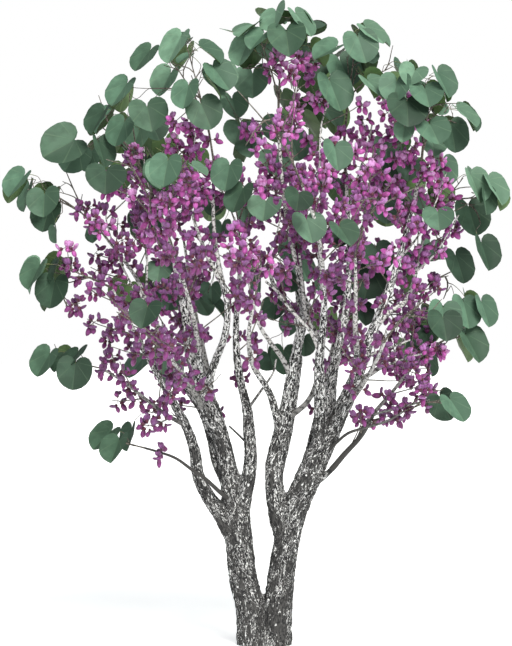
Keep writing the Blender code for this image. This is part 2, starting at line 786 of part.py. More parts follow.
class Growth:
    """The seeded rule that fills one mass's space: a leader, its shoots, and their leaves and blossom."""

    LEADER_REACH = 0.25
    FIRST_SHOOT, LAST_SHOOT = 0.25, 0.90
    SHRINKS = (1.0, 0.85, 0.7, 0.55, 0.4)
    SHORTEST_SHOOT = 0.05
    EDGE = 0.07
    LEADER_LEAVES = 1
    SHOOT_LEAVES = 2
    FIRST_BLOSSOM, LAST_BLOSSOM = 0.3, 0.88

    def __init__(self, index, crown, paths):
        self.mass = MASSES[index]
        self.centre = Vector(self.mass.centre)
        self.index = index
        self.crown = crown
        self.path = paths[self.mass.limb]
        self.rng = random.Random(SEED + index)
        self.twigs = []
        self.leaves = []
        self.blossoms = []
        self.taken = []
        self.grow()

    def fits(self, points, clearance):
        """Whether points lie in the mass's space and clear of the limbs."""
        return self.crown.in_space(points, self.index) and self.crown.clear_of_limbs(points, clearance)

    def touches(self, mesh):
        """Whether a leaf's or blossom's mesh meets a leaf, a blossom or a twig that is there already."""
        tree = BVHTree.FromPolygons(*mesh)
        return any(tree.overlap(other) for other in self.taken)

    def take(self, mesh):
        """Marks a mesh's room as taken."""
        self.taken.append(BVHTree.FromPolygons(*mesh))

    def grow(self):
        """Grows the leader from the limb's tip, then shoots to points spread evenly round the space."""
        heading = self.path.tangent(1.0)
        start = self.path.tip + heading * GAP
        end = self.centre + (self.centre - start).normalized() * self.mass.reach * self.LEADER_REACH
        knee = start + heading * STRAIGHT_END / 2.0
        elbow = knee.lerp(end, 0.5) + (heading - (end - knee).normalized()) * 0.2 * (end - knee).length
        leader = [start, knee, elbow, end]
        base = self.path.radius(1.0) * 0.95
        self.add_twig(Twig(leader, base, base, LEADER_TIP_RADIUS))
        shoots = [self.shoot(leader, i) for i in range(self.mass.shoots)]
        leafless = self.mass.name in IN_BLOSSOM
        self.dress(leader, 0 if leafless else self.LEADER_LEAVES)
        for points in filter(None, shoots):
            self.dress(points, 0 if leafless else self.SHOOT_LEAVES)

    def add_twig(self, twig):
        self.twigs.append(twig)
        self.take(twig_mesh(twig))

    def outward(self, number):
        """The direction from the mass's middle in which a numbered shoot grows."""
        outwards = 0.55
        height = 1.0 - 2.0 * (number + 0.5) / self.mass.shoots
        ring = math.sqrt(max(0.0, 1.0 - height * height))
        turn = GOLDEN_ANGLE * number + 1.7 * self.index
        spread = Vector((ring * math.cos(turn), ring * math.sin(turn), height))
        return (spread + (self.centre - CROWN_MIDDLE).normalized() * outwards).normalized()

    def shoot(self, leader, number):
        """One shoot from the leader to a point near the edge of the space, pulled in until it fits."""
        share = self.FIRST_SHOOT + (self.LAST_SHOOT - self.FIRST_SHOOT) * number / (self.mass.shoots - 1)
        root, along = along_points(leader, share)
        for shrink in self.SHRINKS:
            end = self.centre + self.outward(number) * (self.mass.reach - self.EDGE) * shrink
            reach = (end - root).length
            heading = (along * 0.8 + (end - root).normalized()).normalized()
            points = [root, root + heading * 0.3 * reach, end]
            samples = [along_points(points, s / 8.0)[0] for s in range(2, 9)]
            if reach > self.SHORTEST_SHOOT and self.fits(samples, TWIG_CLEARANCE):
                self.add_twig(Twig(points, SHOOT_FOOT_RADIUS, SHOOT_RADIUS, SHOOT_TIP_RADIUS))
                return points
        return None

    def dress(self, points, leaf_count):
        """Leaves at the end of a twig, on alternate sides, and blossom along the rest of it."""
        length = sum((b - a).length for a, b in zip(points, points[1:]))
        phase = self.rng.uniform(0.0, 2.0 * math.pi)
        for i in range(leaf_count):
            share = LAST_LEAF - LEAF_STEP * i / max(length, 2.0 * LEAF_STEP)
            self.add_leaf(*along_points(points, share), phase + math.pi * i)
        spacing = BLOSSOM_SPACING / 2.0 if leaf_count == 0 else BLOSSOM_SPACING
        count = max(1, round(length * (1.0 - self.FIRST_BLOSSOM) / spacing))
        for i in range(count):
            share = self.FIRST_BLOSSOM + (self.LAST_BLOSSOM - self.FIRST_BLOSSOM) * (i + 0.5) / count
            self.add_blossom(*along_points(points, share), phase + GOLDEN_ANGLE * i)

    def add_leaf(self, root, along, side):
        """Adds a leaf on one side of a twig, tried a few times until it touches nothing."""
        for _ in range(LEAF_TRIES):
            leaf = leaf_at(root, along, side + self.rng.uniform(-1.2, 1.2), self.rng)
            blade = blade_mesh(leaf)
            if (leaf.notch - leaf.root).normalized().dot(leaf.along) < LEAST_ONWARD:
                continue
            if self.fits(leaf_samples(leaf), LEAF_CLEARANCE) and not self.touches(blade):
                self.leaves.append(leaf)
                self.take(blade)
                return

    def add_blossom(self, root, along, side):
        """Adds a cluster of blossom that hangs from a twig, unless it touches something."""
        hang = across(along, side) * 0.8 - UP * 0.75
        blossom = Blossom(root, hang.normalized(), self.rng.uniform(0.85, 1.15))
        points, faces = blossom_mesh(blossom)
        tip_only = (points, [face for face in faces if BLOSSOM_ROOT not in face])
        if self.fits(blossom_samples(blossom), BLOSSOM_CLEARANCE) and not self.touches(tip_only):
            self.blossoms.append(blossom)
            self.take(tip_only)


def leaf_outline():
    """A leaf's whole outline, from one side of its notch round its tip to the other."""
    return list(LEAF_OUTLINE) + [(-u, v) for u, v in reversed(LEAF_OUTLINE[:-1])]


def blade_mesh(leaf):
    """A leaf's blade alone, as a single sheet, for the tests that it touches nothing."""
    outline = leaf_outline()
    points = [blade_point(leaf, u, v) for u, v in outline] + [blade_point(leaf, 0.0, LEAF_CENTRE)]
    count = len(outline)
    return points, [(i, (i + 1) % count, count) for i in range(count)]


def twig_mesh(twig):
    """A closed three-sided tube through a twig's points."""
    places = twig.points
    last = len(places) - 1
    points = []
    for i, place in enumerate(places):
        along = (places[min(last, i + 1)] - places[max(0, i - 1)]).normalized()
        radius = twig.base_radius + (twig.tip_radius - twig.base_radius) * i / last
        if i == 0:
            radius = twig.foot_radius
        points += [place + across(along, 2.0 * math.pi * corner / 3.0) * radius for corner in range(3)]
    faces = []
    for i in range(last):
        for corner in range(3):
            a, b = 3 * i + corner, 3 * i + (corner + 1) % 3
            faces += [(a, b, b + 3), (a, b + 3, a + 3)]
    faces += [(3 * last, 3 * last + 1, 3 * last + 2), (2, 1, 0)]
    return points, faces


def leaf_mesh(leaf):
    """A thin folded lens in the leaf's own outline, with its three-sided stalk grown out of the notch."""
    points = [blade_point(leaf, u, v) for u, v in leaf_outline()]
    right, left = 0, len(points) - 1
    back, top, bottom = left + 1, left + 2, left + 3
    middle = blade_point(leaf, 0.0, LEAF_CENTRE)
    stalk = (leaf.root - leaf.notch).normalized()
    depth = -math.copysign(COLLAR_DEPTH, stalk.dot(leaf.facing))
    points.append(blade_point(leaf, 0.0, depth) - leaf.facing * LEAF_THICKNESS)
    points += [middle + leaf.facing * LEAF_THICKNESS / 2, middle - leaf.facing * LEAF_THICKNESS / 2]
    faces = [(i, i + 1, top) for i in range(left)] + [(left, right, top)]
    faces += [(i + 1, i, bottom) for i in range(left)] + [(right, back, bottom), (back, left, bottom)]
    collar = (points[right], points[back], points[left])
    centre = (collar[0] + collar[1] + collar[2]) / 3.0
    foot = len(points)
    for point in collar:
        out = point - centre
        out -= stalk * out.dot(stalk)
        points.append(leaf.root + out.normalized() * PETIOLE_RADIUS)
    for i, (a, b) in enumerate(((right, back), (back, left), (left, right))):
        c, d = foot + i, foot + (i + 1) % 3
        faces += [(b, a, c), (b, c, d)]
    faces.append((foot + 2, foot + 1, foot))
    return points, faces


def blossom_mesh(blossom):
    """A cluster of blossom as one plump six-faced drop that hangs from its twig."""
    length, radius = BLOSSOM_LENGTH * blossom.size, BLOSSOM_RADIUS * blossom.size
    waist = blossom.root + blossom.along * length * BLOSSOM_WAIST
    points = [waist + across(blossom.along, math.pi * 2.0 * k / 3.0) * radius for k in range(3)]
    points += [blossom.root - blossom.along * BLOSSOM_SUNK, blossom.root + blossom.along * length]
    faces = []
    for k in range(3):
        j = (k + 1) % 3
        faces += [(j, k, BLOSSOM_ROOT), (k, j, BLOSSOM_ROOT + 1)]
    return points, faces


def build_mass(index, crown, paths, collection, material):
    """Fuses one mass's twigs, leaves and blossom into a single closed body."""
    growth = Growth(index, crown, paths)
    pieces = [twig_mesh(twig) for twig in growth.twigs]
    pieces += [leaf_mesh(leaf) for leaf in growth.leaves]
    pieces += [blossom_mesh(blossom) for blossom in growth.blossoms]
    name = MASSES[index].name
    helpers = bpy.data.collections.new(name + "_pieces")
    bpy.context.scene.collection.children.link(helpers)
    body = add_mesh(name, *pieces[0], collection)
    weld(body.data)
    for points, faces in pieces[1:]:
        weld(add_mesh(name + "_piece", points, faces, helpers).data)
    boolean(body, "UNION", "MANIFOLD", collection=helpers)
    for piece in list(helpers.objects):
        bpy.data.objects.remove(piece)
    bpy.data.collections.remove(helpers)
    keep_largest_shell(body)
    finish_node(body, material)


def main():
    """Builds the trunk, every limb and every mass as its own solid."""
    for obj in list(bpy.data.objects):
        bpy.data.objects.remove(obj)
    collection = bpy.data.collections.new("western_redbud")
    cutting = bpy.data.collections.new("cutters")
    for group in (collection, cutting):
        bpy.context.scene.collection.children.link(group)
    bark = make_material("grey_bark", (0.23, 0.21, 0.19), 0.9)
    leaf = make_material("green_leaf", (0.10, 0.24, 0.13), 0.55)
    blossom = make_material("magenta_blossom", (0.50, 0.09, 0.40), 0.6)
    paths = build_paths()
    build_trunk(paths, collection, cutting, bark)
    build_limbs(paths, collection, cutting, bark)
    crown = Crown(paths)
    for index, mass in enumerate(MASSES):
        build_mass(index, crown, paths, collection, blossom if mass.name in IN_BLOSSOM else leaf)


main()
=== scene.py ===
"""The looks of a western redbud in flower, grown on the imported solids' own limbs.

The bark is one skin over trunk and boughs. Each mass of the solids becomes finer twigs by the same rule,
with heart-shaped leaves round the outside of the crown and pea blossom on the older wood. Sizes are in
metres.
"""

import json
import logging
import math
import random
from collections.abc import Callable, Iterator
from contextlib import contextmanager
from dataclasses import dataclass, field
from enum import Enum

import bmesh
import bpy
import numpy as np
from mathutils import Matrix, Quaternion, Vector
from mathutils.kdtree import KDTree

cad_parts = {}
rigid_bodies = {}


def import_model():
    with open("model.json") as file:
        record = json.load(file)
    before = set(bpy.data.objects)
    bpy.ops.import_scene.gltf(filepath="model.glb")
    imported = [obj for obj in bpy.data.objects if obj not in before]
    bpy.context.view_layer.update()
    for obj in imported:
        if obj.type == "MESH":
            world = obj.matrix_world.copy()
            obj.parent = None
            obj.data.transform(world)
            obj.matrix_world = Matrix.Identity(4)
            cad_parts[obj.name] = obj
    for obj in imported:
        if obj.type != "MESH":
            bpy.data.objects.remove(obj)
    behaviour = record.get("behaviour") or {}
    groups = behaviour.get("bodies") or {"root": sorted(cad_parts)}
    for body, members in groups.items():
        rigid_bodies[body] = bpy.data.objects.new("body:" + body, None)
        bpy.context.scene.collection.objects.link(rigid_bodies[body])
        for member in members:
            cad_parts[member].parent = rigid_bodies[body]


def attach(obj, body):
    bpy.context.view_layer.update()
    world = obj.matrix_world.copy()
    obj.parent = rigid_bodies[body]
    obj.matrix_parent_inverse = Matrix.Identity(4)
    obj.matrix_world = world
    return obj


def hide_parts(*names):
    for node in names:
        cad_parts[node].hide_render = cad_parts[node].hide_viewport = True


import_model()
log = logging.getLogger("redbud")

Socket = bpy.types.NodeSocket
Object = bpy.types.Object
Mesh = bpy.types.Mesh
Material = bpy.types.Material
Pair = tuple[float, float]
Triple = tuple[float, float, float]
Nodes = tuple[str, ...]

UP = Vector((0.0, 0.0, 1.0))
AHEAD = Vector((1.0, 0.0, 0.0))
TOWARDS_CAMERA = Vector((0.0, -1.0, 0.0))
CAMERA = Vector((-0.037, -9.0, 1.25))
GOLDEN_ANGLE = math.pi * (3.0 - math.sqrt(5.0))
FULL_TURN = 2.0 * math.pi

# The stems start this far under the ground and are cut flat at it.
BELOW_GROUND = 0.04
# Clearance between a limb's tip and the twig that grows on from it, in the solids.
GAP = 0.0003
STRAIGHT_END = 0.02
FLARE = 0.005
FLARE_HEIGHT = 0.05
# Middle of the crown, which leaves face away from, and the crown's half sizes.
CROWN_MIDDLE = Vector((0.0, 0.0, 1.35))
CROWN_HALF = Vector((0.98, 0.88, 1.10))

LEAF_WIDTH = 0.142
# A blade's length as a share of its width.
BLADE = 0.72
PETIOLE = 0.055
# How far a mass may reach past its ball, and how far it keeps from its neighbours' spaces and from limbs.
OVERHANG = 0.045
SPACE_MARGIN = 0.004
TWIG_CLEARANCE = 0.007
# How deep the zone of blossom is at least, to the front and to the back.
LEAST_DEPTH = 0.30
# Points of a mesh closer than this are one point, and a length to keep sums off zero.
MERGED = 1e-5
TINY = 1e-6


class Tint(Enum):
    """The four greens that leaves are dealt, partly the leaves' own tone and partly painted light and shade:
    the paler for lit leaves, the darker for leaves in shade.
    """

    PALE = "pale"
    MID = "mid"
    DEEP = "deep"
    DUSKY = "dusky"


class Layer(Enum):
    """Whether a seen leaf hangs before the blossom or behind it."""

    FRONT = "front"
    BEHIND = "behind"


class Shade(Enum):
    """The three tones of blossom, dealt out spray by spray: partly random and partly painted light and
    shade.
    """

    LIGHT = "light"
    BRIGHT = "bright"
    DARK = "dark"


@dataclass(frozen=True)
class Limb:
    """One tapering limb, as the solids have it.

    It starts on its parent's centre line at a height and runs through the given points, the last of which is
    its tip. Its radii are evenly spread from its start to its tip.
    """

    name: str
    parent: str
    from_height: float
    radii: tuple[float, ...]
    through: tuple[Triple, ...]


@dataclass(frozen=True)
class Mass:
    """One mass of foliage of the solids: the limb that it ends, the ball that it fills, and its shoots."""

    name: str
    limb: str
    centre: Triple
    reach: float
    shoots: int


@dataclass(frozen=True)
class Spot:
    """A leaf that the photograph shows: where its notch and tip are across and up, and how far it turns."""

    notch: Pair
    tip: Pair
    turn: float
    tint: Tint
    size: float
    layer: Layer

    def middle(self) -> Pair:
        """Halfway from the notch to the tip."""
        return (self.notch[0] + self.tip[0]) / 2.0, (self.notch[1] + self.tip[1]) / 2.0


LIMBS = (
    Limb("left_stem", "", -BELOW_GROUND,
        (0.057, 0.057, 0.055, 0.054, 0.034, 0.03, 0.026, 0.019, 0.014, 0.011, 0.009), ((-0.06, 0.0, 0.148),
        (-0.087, 0.0, 0.26), (-0.101, 0.0, 0.388), (-0.115, 0.0, 0.524), (-0.138, 0.0, 0.648),
        (-0.161, 0.005, 0.757), (-0.2, 0.01, 0.897), (-0.235, 0.015, 0.974), (-0.27, 0.02, 1.056),
        (-0.293, 0.03, 1.134), (-0.309, 0.04, 1.254), (-0.336, 0.05, 1.398), (-0.378, 0.065, 1.572),
        (-0.448, 0.08, 1.766))),
    Limb("right_stem", "", -BELOW_GROUND,
        (0.057, 0.056, 0.052, 0.05, 0.05, 0.033, 0.026, 0.018, 0.0155, 0.0125, 0.009), ((0.049, 0.0, 0.148),
        (0.06, 0.0, 0.26), (0.076, 0.0, 0.369), (0.107, 0.0, 0.505), (0.153, -0.005, 0.621),
        (0.215, -0.01, 0.757), (0.268, -0.015, 0.858), (0.34, -0.02, 1.013), (0.398, -0.025, 1.172),
        (0.46, -0.03, 1.332), (0.514, -0.03, 1.491), (0.565, -0.035, 1.681), (0.6, -0.04, 1.84))),
    Limb("left_outer_bough", "left_stem", 0.388, (0.036, 0.029, 0.021, 0.014, 0.011, 0.007),
        ((-0.169, -0.01, 0.501), (-0.227, -0.015, 0.586), (-0.262, -0.02, 0.66), (-0.274, -0.03, 0.749),
        (-0.309, -0.04, 0.854), (-0.367, -0.05, 0.959), (-0.433, -0.055, 1.079), (-0.51, -0.06, 1.219),
        (-0.592, -0.06, 1.378))),
    Limb("left_inner_bough", "left_stem", 0.485, (0.034, 0.028, 0.024, 0.016, 0.014, 0.011, 0.008),
        ((-0.087, -0.01, 0.563), (-0.068, -0.012, 0.648), (-0.058, -0.01, 0.738), (-0.064, 0.0, 0.835),
        (-0.072, 0.01, 0.92), (-0.095, 0.02, 1.013), (-0.111, 0.03, 1.114), (-0.115, 0.035, 1.242),
        (-0.103, 0.03, 1.39), (-0.099, 0.03, 1.53))),
    Limb("left_cross_bough", "left_stem", 0.92, (0.02, 0.015, 0.012, 0.009, 0.007), ((-0.219, 0.0, 1.017),
        (-0.192, -0.015, 1.11), (-0.157, -0.03, 1.203), (-0.149, -0.035, 1.32), (-0.177, -0.04, 1.448),
        (-0.2, -0.045, 1.619), (-0.2, -0.06, 1.863))),
    Limb("left_high_bough", "left_stem", 0.563, (0.022, 0.018, 0.014, 0.01, 0.008, 0.006),
        ((-0.188, 0.03, 0.699), (-0.219, 0.045, 0.819), (-0.25, 0.05, 0.905), (-0.305, 0.055, 0.99),
        (-0.371, 0.055, 1.106), (-0.429, 0.055, 1.254), (-0.507, 0.05, 1.429), (-0.627, 0.05, 1.588))),
    Limb("left_front_bough", "left_stem", 0.796, (0.018, 0.012, 0.008, 0.006), ((-0.231, -0.07, 0.893),
        (-0.274, -0.17, 0.998), (-0.332, -0.28, 1.083), (-0.39, -0.36, 1.149))),
    Limb("left_front_high_bough", "left_stem", 1.029, (0.016, 0.011, 0.008, 0.006), ((-0.254, -0.07, 1.099),
        (-0.27, -0.19, 1.242), (-0.301, -0.32, 1.378), (-0.332, -0.42, 1.491))),
    Limb("left_back_bough", "left_stem", 0.505, (0.028, 0.022, 0.016, 0.01, 0.006), ((-0.118, 0.07, 0.602),
        (-0.153, 0.19, 0.738), (-0.215, 0.32, 0.912), (-0.262, 0.41, 1.087), (-0.289, 0.46, 1.219))),
    Limb("left_back_high_bough", "left_back_bough", 0.873, (0.015, 0.011, 0.008, 0.006),
        ((-0.231, 0.32, 1.048), (-0.285, 0.38, 1.3), (-0.328, 0.42, 1.568))),
    Limb("left_spray_bough", "left_outer_bough", 0.854, (0.009, 0.0065, 0.0045), ((-0.378, -0.07, 0.893),
        (-0.464, -0.085, 0.959), (-0.549, -0.095, 1.025), (-0.623, -0.1, 1.071))),
    Limb("left_low_bough", "left_stem", 0.551, (0.01, 0.008, 0.006, 0.0045), ((-0.169, -0.055, 0.59),
        (-0.235, -0.08, 0.652), (-0.281, -0.085, 0.683), (-0.347, -0.09, 0.73), (-0.421, -0.1, 0.757),
        (-0.464, -0.1, 0.769))),
    Limb("centre_bough", "right_stem", 0.408,
        (0.038, 0.037, 0.037, 0.03, 0.0215, 0.02, 0.013, 0.012, 0.011, 0.01, 0.009), ((0.052, 0.0, 0.505),
        (0.037, 0.0, 0.602), (0.035, 0.0, 0.699), (0.056, 0.0, 0.796), (0.083, 0.0, 0.92),
        (0.103, 0.0, 1.056), (0.13, 0.0, 1.184), (0.146, 0.0, 1.293), (0.13, 0.0, 1.429),
        (0.099, 0.0, 1.572), (0.068, 0.0, 1.766), (0.052, 0.0, 1.98))),
    Limb("centre_left_bough", "centre_bough", 0.815, (0.018, 0.015, 0.011, 0.008, 0.006),
        ((0.021, -0.05, 0.967), (-0.014, -0.09, 1.029), (-0.052, -0.15, 1.099), (-0.064, -0.26, 1.211),
        (-0.041, -0.36, 1.339))),
    Limb("centre_back_bough", "centre_bough", 0.648, (0.025, 0.02, 0.014, 0.01, 0.007),
        ((0.072, 0.07, 0.769), (0.111, 0.17, 0.951), (0.138, 0.26, 1.184), (0.126, 0.33, 1.456),
        (0.111, 0.36, 1.669), (0.099, 0.38, 1.84))),
    Limb("right_inner_bough", "right_stem", 0.71, (0.028, 0.026, 0.017, 0.012, 0.009, 0.007),
        ((0.212, -0.035, 0.835), (0.21, -0.055, 0.971), (0.208, -0.08, 1.106), (0.223, -0.13, 1.281),
        (0.215, -0.2, 1.456), (0.192, -0.28, 1.611), (0.134, -0.36, 1.766))),
    Limb("right_mid_bough", "right_stem", 0.765, (0.027, 0.022, 0.017, 0.013, 0.01, 0.008),
        ((0.247, 0.035, 0.905), (0.266, 0.055, 1.06), (0.301, 0.06, 1.223), (0.32, 0.06, 1.351),
        (0.328, 0.055, 1.514), (0.32, 0.055, 1.708), (0.309, 0.06, 1.96))),
    Limb("right_fork_bough", "right_stem", 1.231, (0.012, 0.009, 0.007, 0.0055), ((0.479, -0.02, 1.293),
        (0.538, -0.01, 1.328), (0.573, 0.0, 1.401), (0.6, 0.01, 1.514), (0.639, 0.02, 1.669))),
    Limb("right_side_bough", "right_stem", 0.971, (0.013, 0.009, 0.007, 0.0055), ((0.378, 0.0, 1.033),
        (0.429, 0.03, 1.064), (0.495, 0.07, 1.118), (0.561, 0.11, 1.211), (0.619, 0.14, 1.37))),
    Limb("right_front_bough", "right_stem", 0.835, (0.018, 0.012, 0.008, 0.006), ((0.316, -0.1, 0.936),
        (0.375, -0.21, 1.029), (0.413, -0.32, 1.106), (0.441, -0.4, 1.18))),
    Limb("right_front_high_bough", "right_stem", 1.009, (0.016, 0.011, 0.008, 0.006),
        ((0.351, -0.08, 1.106), (0.34, -0.21, 1.242), (0.336, -0.34, 1.378), (0.33, -0.44, 1.491))),
    Limb("right_back_bough", "right_stem", 0.582, (0.028, 0.022, 0.016, 0.01, 0.006), ((0.161, 0.08, 0.679),
        (0.2, 0.2, 0.835), (0.247, 0.33, 1.009), (0.297, 0.43, 1.145), (0.328, 0.48, 1.219))),
    Limb("right_back_high_bough", "right_back_bough", 0.893, (0.015, 0.011, 0.008, 0.006),
        ((0.254, 0.33, 1.06), (0.316, 0.4, 1.32), (0.371, 0.44, 1.568))),
    Limb("right_low_bough", "right_stem", 0.594, (0.014, 0.012, 0.01, 0.008, 0.0065, 0.0055),
        ((0.235, -0.045, 0.664), (0.305, -0.07, 0.745), (0.371, -0.075, 0.819), (0.421, -0.07, 0.905),
        (0.483, -0.04, 0.974), (0.542, 0.0, 1.044), (0.6, 0.04, 1.11))),
    Limb("right_lower_bough", "right_stem", 0.71, (0.008, 0.006, 0.005, 0.0045), ((0.274, -0.055, 0.788),
        (0.32, -0.09, 0.827), (0.39, -0.115, 0.85), (0.464, -0.12, 0.873), (0.526, -0.11, 0.908))),
)

# Thin limbs that show in the photograph and are too slender for the solids.
STRANDS = (
    Limb("cross_strand", "centre_bough", 0.873, (0.012, 0.01, 0.009), ((0.15, -0.01, 0.93),
        (0.184, -0.02, 0.982), (0.206, -0.05, 1.06))),
    Limb("centre_spur", "centre_bough", 1.044, (0.012, 0.009, 0.006), ((0.064, -0.02, 1.114),
        (0.018, -0.03, 1.176), (-0.014, -0.035, 1.223), (-0.05, -0.05, 1.3))),
    Limb("centre_fork", "centre_bough", 1.223, (0.0125, 0.011, 0.007), ((0.095, -0.015, 1.308),
        (0.06, -0.02, 1.351), (0.037, -0.025, 1.386), (0.01, -0.03, 1.46))),
    Limb("inner_strand", "right_inner_bough", 1.18, (0.009, 0.008, 0.005), ((0.157, -0.06, 1.285),
        (0.138, -0.06, 1.429), (0.111, -0.06, 1.498), (0.095, -0.06, 1.59))),
    Limb("left_inner_strand", "left_inner_bough", 0.912, (0.006, 0.005, 0.0035), ((-0.01, -0.01, 0.998),
        (0.029, -0.02, 1.056), (0.041, -0.02, 1.11))),
    Limb("left_inner_twig", "left_inner_bough", 0.77, (0.005, 0.0035), ((-0.11, 0.0, 0.82),
        (-0.142, 0.0, 0.85))),
    Limb("crossing_strand", "left_cross_bough", 1.4, (0.009, 0.008, 0.005), ((-0.22, -0.05, 1.5),
        (-0.25, -0.05, 1.57), (-0.27, -0.05, 1.627), (-0.31, -0.05, 1.76))),
    Limb("upper_inner_strand", "right_inner_bough", 1.3, (0.009, 0.008, 0.007, 0.0055, 0.004),
        ((0.205, -0.13, 1.5), (0.19, -0.14, 1.727), (0.207, -0.14, 1.863), (0.212, -0.13, 2.0),
        (0.25, -0.12, 2.13))),
    Limb("upper_mid_strand", "right_mid_bough", 1.66, (0.007, 0.006, 0.0045), ((0.342, 0.02, 1.752),
        (0.365, 0.0, 1.84), (0.396, -0.01, 1.93), (0.415, -0.01, 2.03))),
    Limb("right_row_twig", "right_low_bough", 0.79, (0.006, 0.0045, 0.0035), ((0.4, -0.09, 0.885),
        (0.5, -0.1, 0.92), (0.63, -0.1, 0.955))),
    Limb("right_side_twig", "right_stem", 0.99, (0.007, 0.005, 0.004), ((0.433, -0.06, 1.068),
        (0.522, -0.07, 1.106), (0.62, -0.07, 1.137))),
    Limb("right_upper_twig", "right_stem", 1.11, (0.005, 0.004, 0.003), ((0.433, -0.04, 1.137),
        (0.491, -0.05, 1.157), (0.56, -0.05, 1.185))),
    Limb("left_fore_strand", "left_stem", 0.88, (0.007, 0.006, 0.0055, 0.005, 0.004),
        ((-0.285, -0.07, 0.98), (-0.324, -0.08, 1.048), (-0.386, -0.08, 1.153), (-0.437, -0.08, 1.262),
        (-0.49, -0.08, 1.38))),
    Limb("white_cross_strand", "right_inner_bough", 1.13, (0.007, 0.0065, 0.006, 0.005),
        ((0.173, -0.11, 1.215), (0.126, -0.12, 1.269), (0.087, -0.12, 1.312), (0.045, -0.12, 1.37),
        (0.0, -0.11, 1.41))),
    Limb("centre_riser", "centre_bough", 1.2, (0.008, 0.0065, 0.005), ((0.165, -0.04, 1.308),
        (0.146, -0.05, 1.37), (0.142, -0.05, 1.417), (0.13, -0.05, 1.52))),
    Limb("centre_left_strand", "centre_spur", 1.26, (0.005, 0.004, 0.003), ((-0.06, -0.05, 1.38),
        (-0.09, -0.06, 1.52), (-0.12, -0.06, 1.66))),
    Limb("centre_right_strand", "centre_fork", 1.42, (0.005, 0.004, 0.003), ((0.02, -0.04, 1.52),
        (0.05, -0.05, 1.62), (0.06, -0.05, 1.72))),
    Limb("left_upper_strand", "left_high_bough", 1.254, (0.005, 0.004, 0.003), ((-0.5, 0.03, 1.36),
        (-0.57, 0.02, 1.5), (-0.62, 0.0, 1.66), (-0.6, -0.01, 1.78))),
    Limb("left_middle_strand", "left_high_bough", 1.35, (0.005, 0.004, 0.003), ((-0.46, 0.0, 1.47),
        (-0.46, -0.02, 1.6), (-0.44, -0.03, 1.74))),
    Limb("right_upper_strand", "right_stem", 1.49, (0.005, 0.004, 0.003), ((0.6, -0.04, 1.6),
        (0.66, -0.04, 1.72), (0.7, -0.04, 1.83))),
    Limb("right_rim_strand", "right_fork_bough", 1.45, (0.005, 0.004, 0.003), ((0.66, 0.0, 1.52),
        (0.71, -0.01, 1.6), (0.75, -0.02, 1.67))),
    Limb("left_crown_strand", "left_cross_bough", 1.7, (0.005, 0.004, 0.003), ((-0.25, -0.07, 1.8),
        (-0.275, -0.07, 1.9), (-0.27, -0.07, 2.0))),
    Limb("left_crown_twig", "left_stem", 1.66, (0.005, 0.004, 0.003), ((-0.37, 0.04, 1.79),
        (-0.345, 0.02, 1.9), (-0.34, 0.0, 2.02))),
    Limb("left_crown_spur", "left_stem", 1.72, (0.005, 0.004, 0.003), ((-0.47, 0.06, 1.83),
        (-0.475, 0.05, 1.94))),
)

MASSES = (
    Mass("upper_left_leaves", "left_stem", (-0.57, 0.10, 1.97), 0.25, 5),
    Mass("top_left_leaves", "left_cross_bough", (-0.27, -0.07, 2.14), 0.27, 5),
    Mass("inner_left_blossom", "left_inner_bough", (-0.12, 0.04, 1.70), 0.20, 4),
    Mass("left_middle_leaves", "left_outer_bough", (-0.76, -0.08, 1.39), 0.18, 4),
    Mass("left_high_leaves", "left_high_bough", (-0.80, 0.04, 1.73), 0.21, 4),
    Mass("left_front_low_leaves", "left_front_bough", (-0.49, -0.54, 1.27), 0.22, 4),
    Mass("left_front_high_leaves", "left_front_high_bough", (-0.41, -0.60, 1.71), 0.26, 5),
    Mass("left_back_low_leaves", "left_back_bough", (-0.45, 0.62, 1.33), 0.24, 4),
    Mass("left_back_high_leaves", "left_back_high_bough", (-0.41, 0.62, 1.77), 0.27, 5),
    Mass("left_spray_leaves", "left_spray_bough", (-0.74, -0.10, 1.07), 0.14, 3),
    Mass("left_low_leaves", "left_low_bough", (-0.55, -0.12, 0.79), 0.14, 3),
    Mass("upper_right_leaves", "right_stem", (0.60, -0.04, 2.03), 0.24, 5),
    Mass("top_centre_leaves", "centre_bough", (0.06, 0.00, 2.22), 0.27, 5),
    Mass("front_middle_leaves", "centre_left_bough", (-0.02, -0.56, 1.47), 0.21, 4),
    Mass("top_back_leaves", "centre_back_bough", (0.10, 0.48, 2.04), 0.28, 4),
    Mass("top_front_leaves", "right_inner_bough", (0.03, -0.50, 1.97), 0.26, 5),
    Mass("top_right_leaves", "right_mid_bough", (0.35, 0.07, 2.19), 0.26, 5),
    Mass("right_high_leaves", "right_fork_bough", (0.77, 0.02, 1.70), 0.19, 4),
    Mass("right_middle_leaves", "right_side_bough", (0.70, 0.20, 1.42), 0.16, 3),
    Mass("right_front_low_leaves", "right_front_bough", (0.52, -0.54, 1.28), 0.22, 4),
    Mass("right_front_high_leaves", "right_front_high_bough", (0.43, -0.60, 1.71), 0.26, 5),
    Mass("right_back_low_leaves", "right_back_bough", (0.49, 0.62, 1.33), 0.24, 4),
    Mass("right_back_high_leaves", "right_back_high_bough", (0.47, 0.62, 1.77), 0.27, 5),
    Mass("right_low_leaves", "right_low_bough", (0.75, 0.04, 1.20), 0.17, 3),
    Mass("right_lower_leaves", "right_lower_bough", (0.67, -0.12, 0.95), 0.13, 3),
)

# Masses that hold blossom and no leaves of their own.
IN_BLOSSOM = ("inner_left_blossom",)

STEM_FEET = {"left_stem": (-0.048, 0.0, -BELOW_GROUND), "right_stem": (0.039, 0.0, -BELOW_GROUND)}

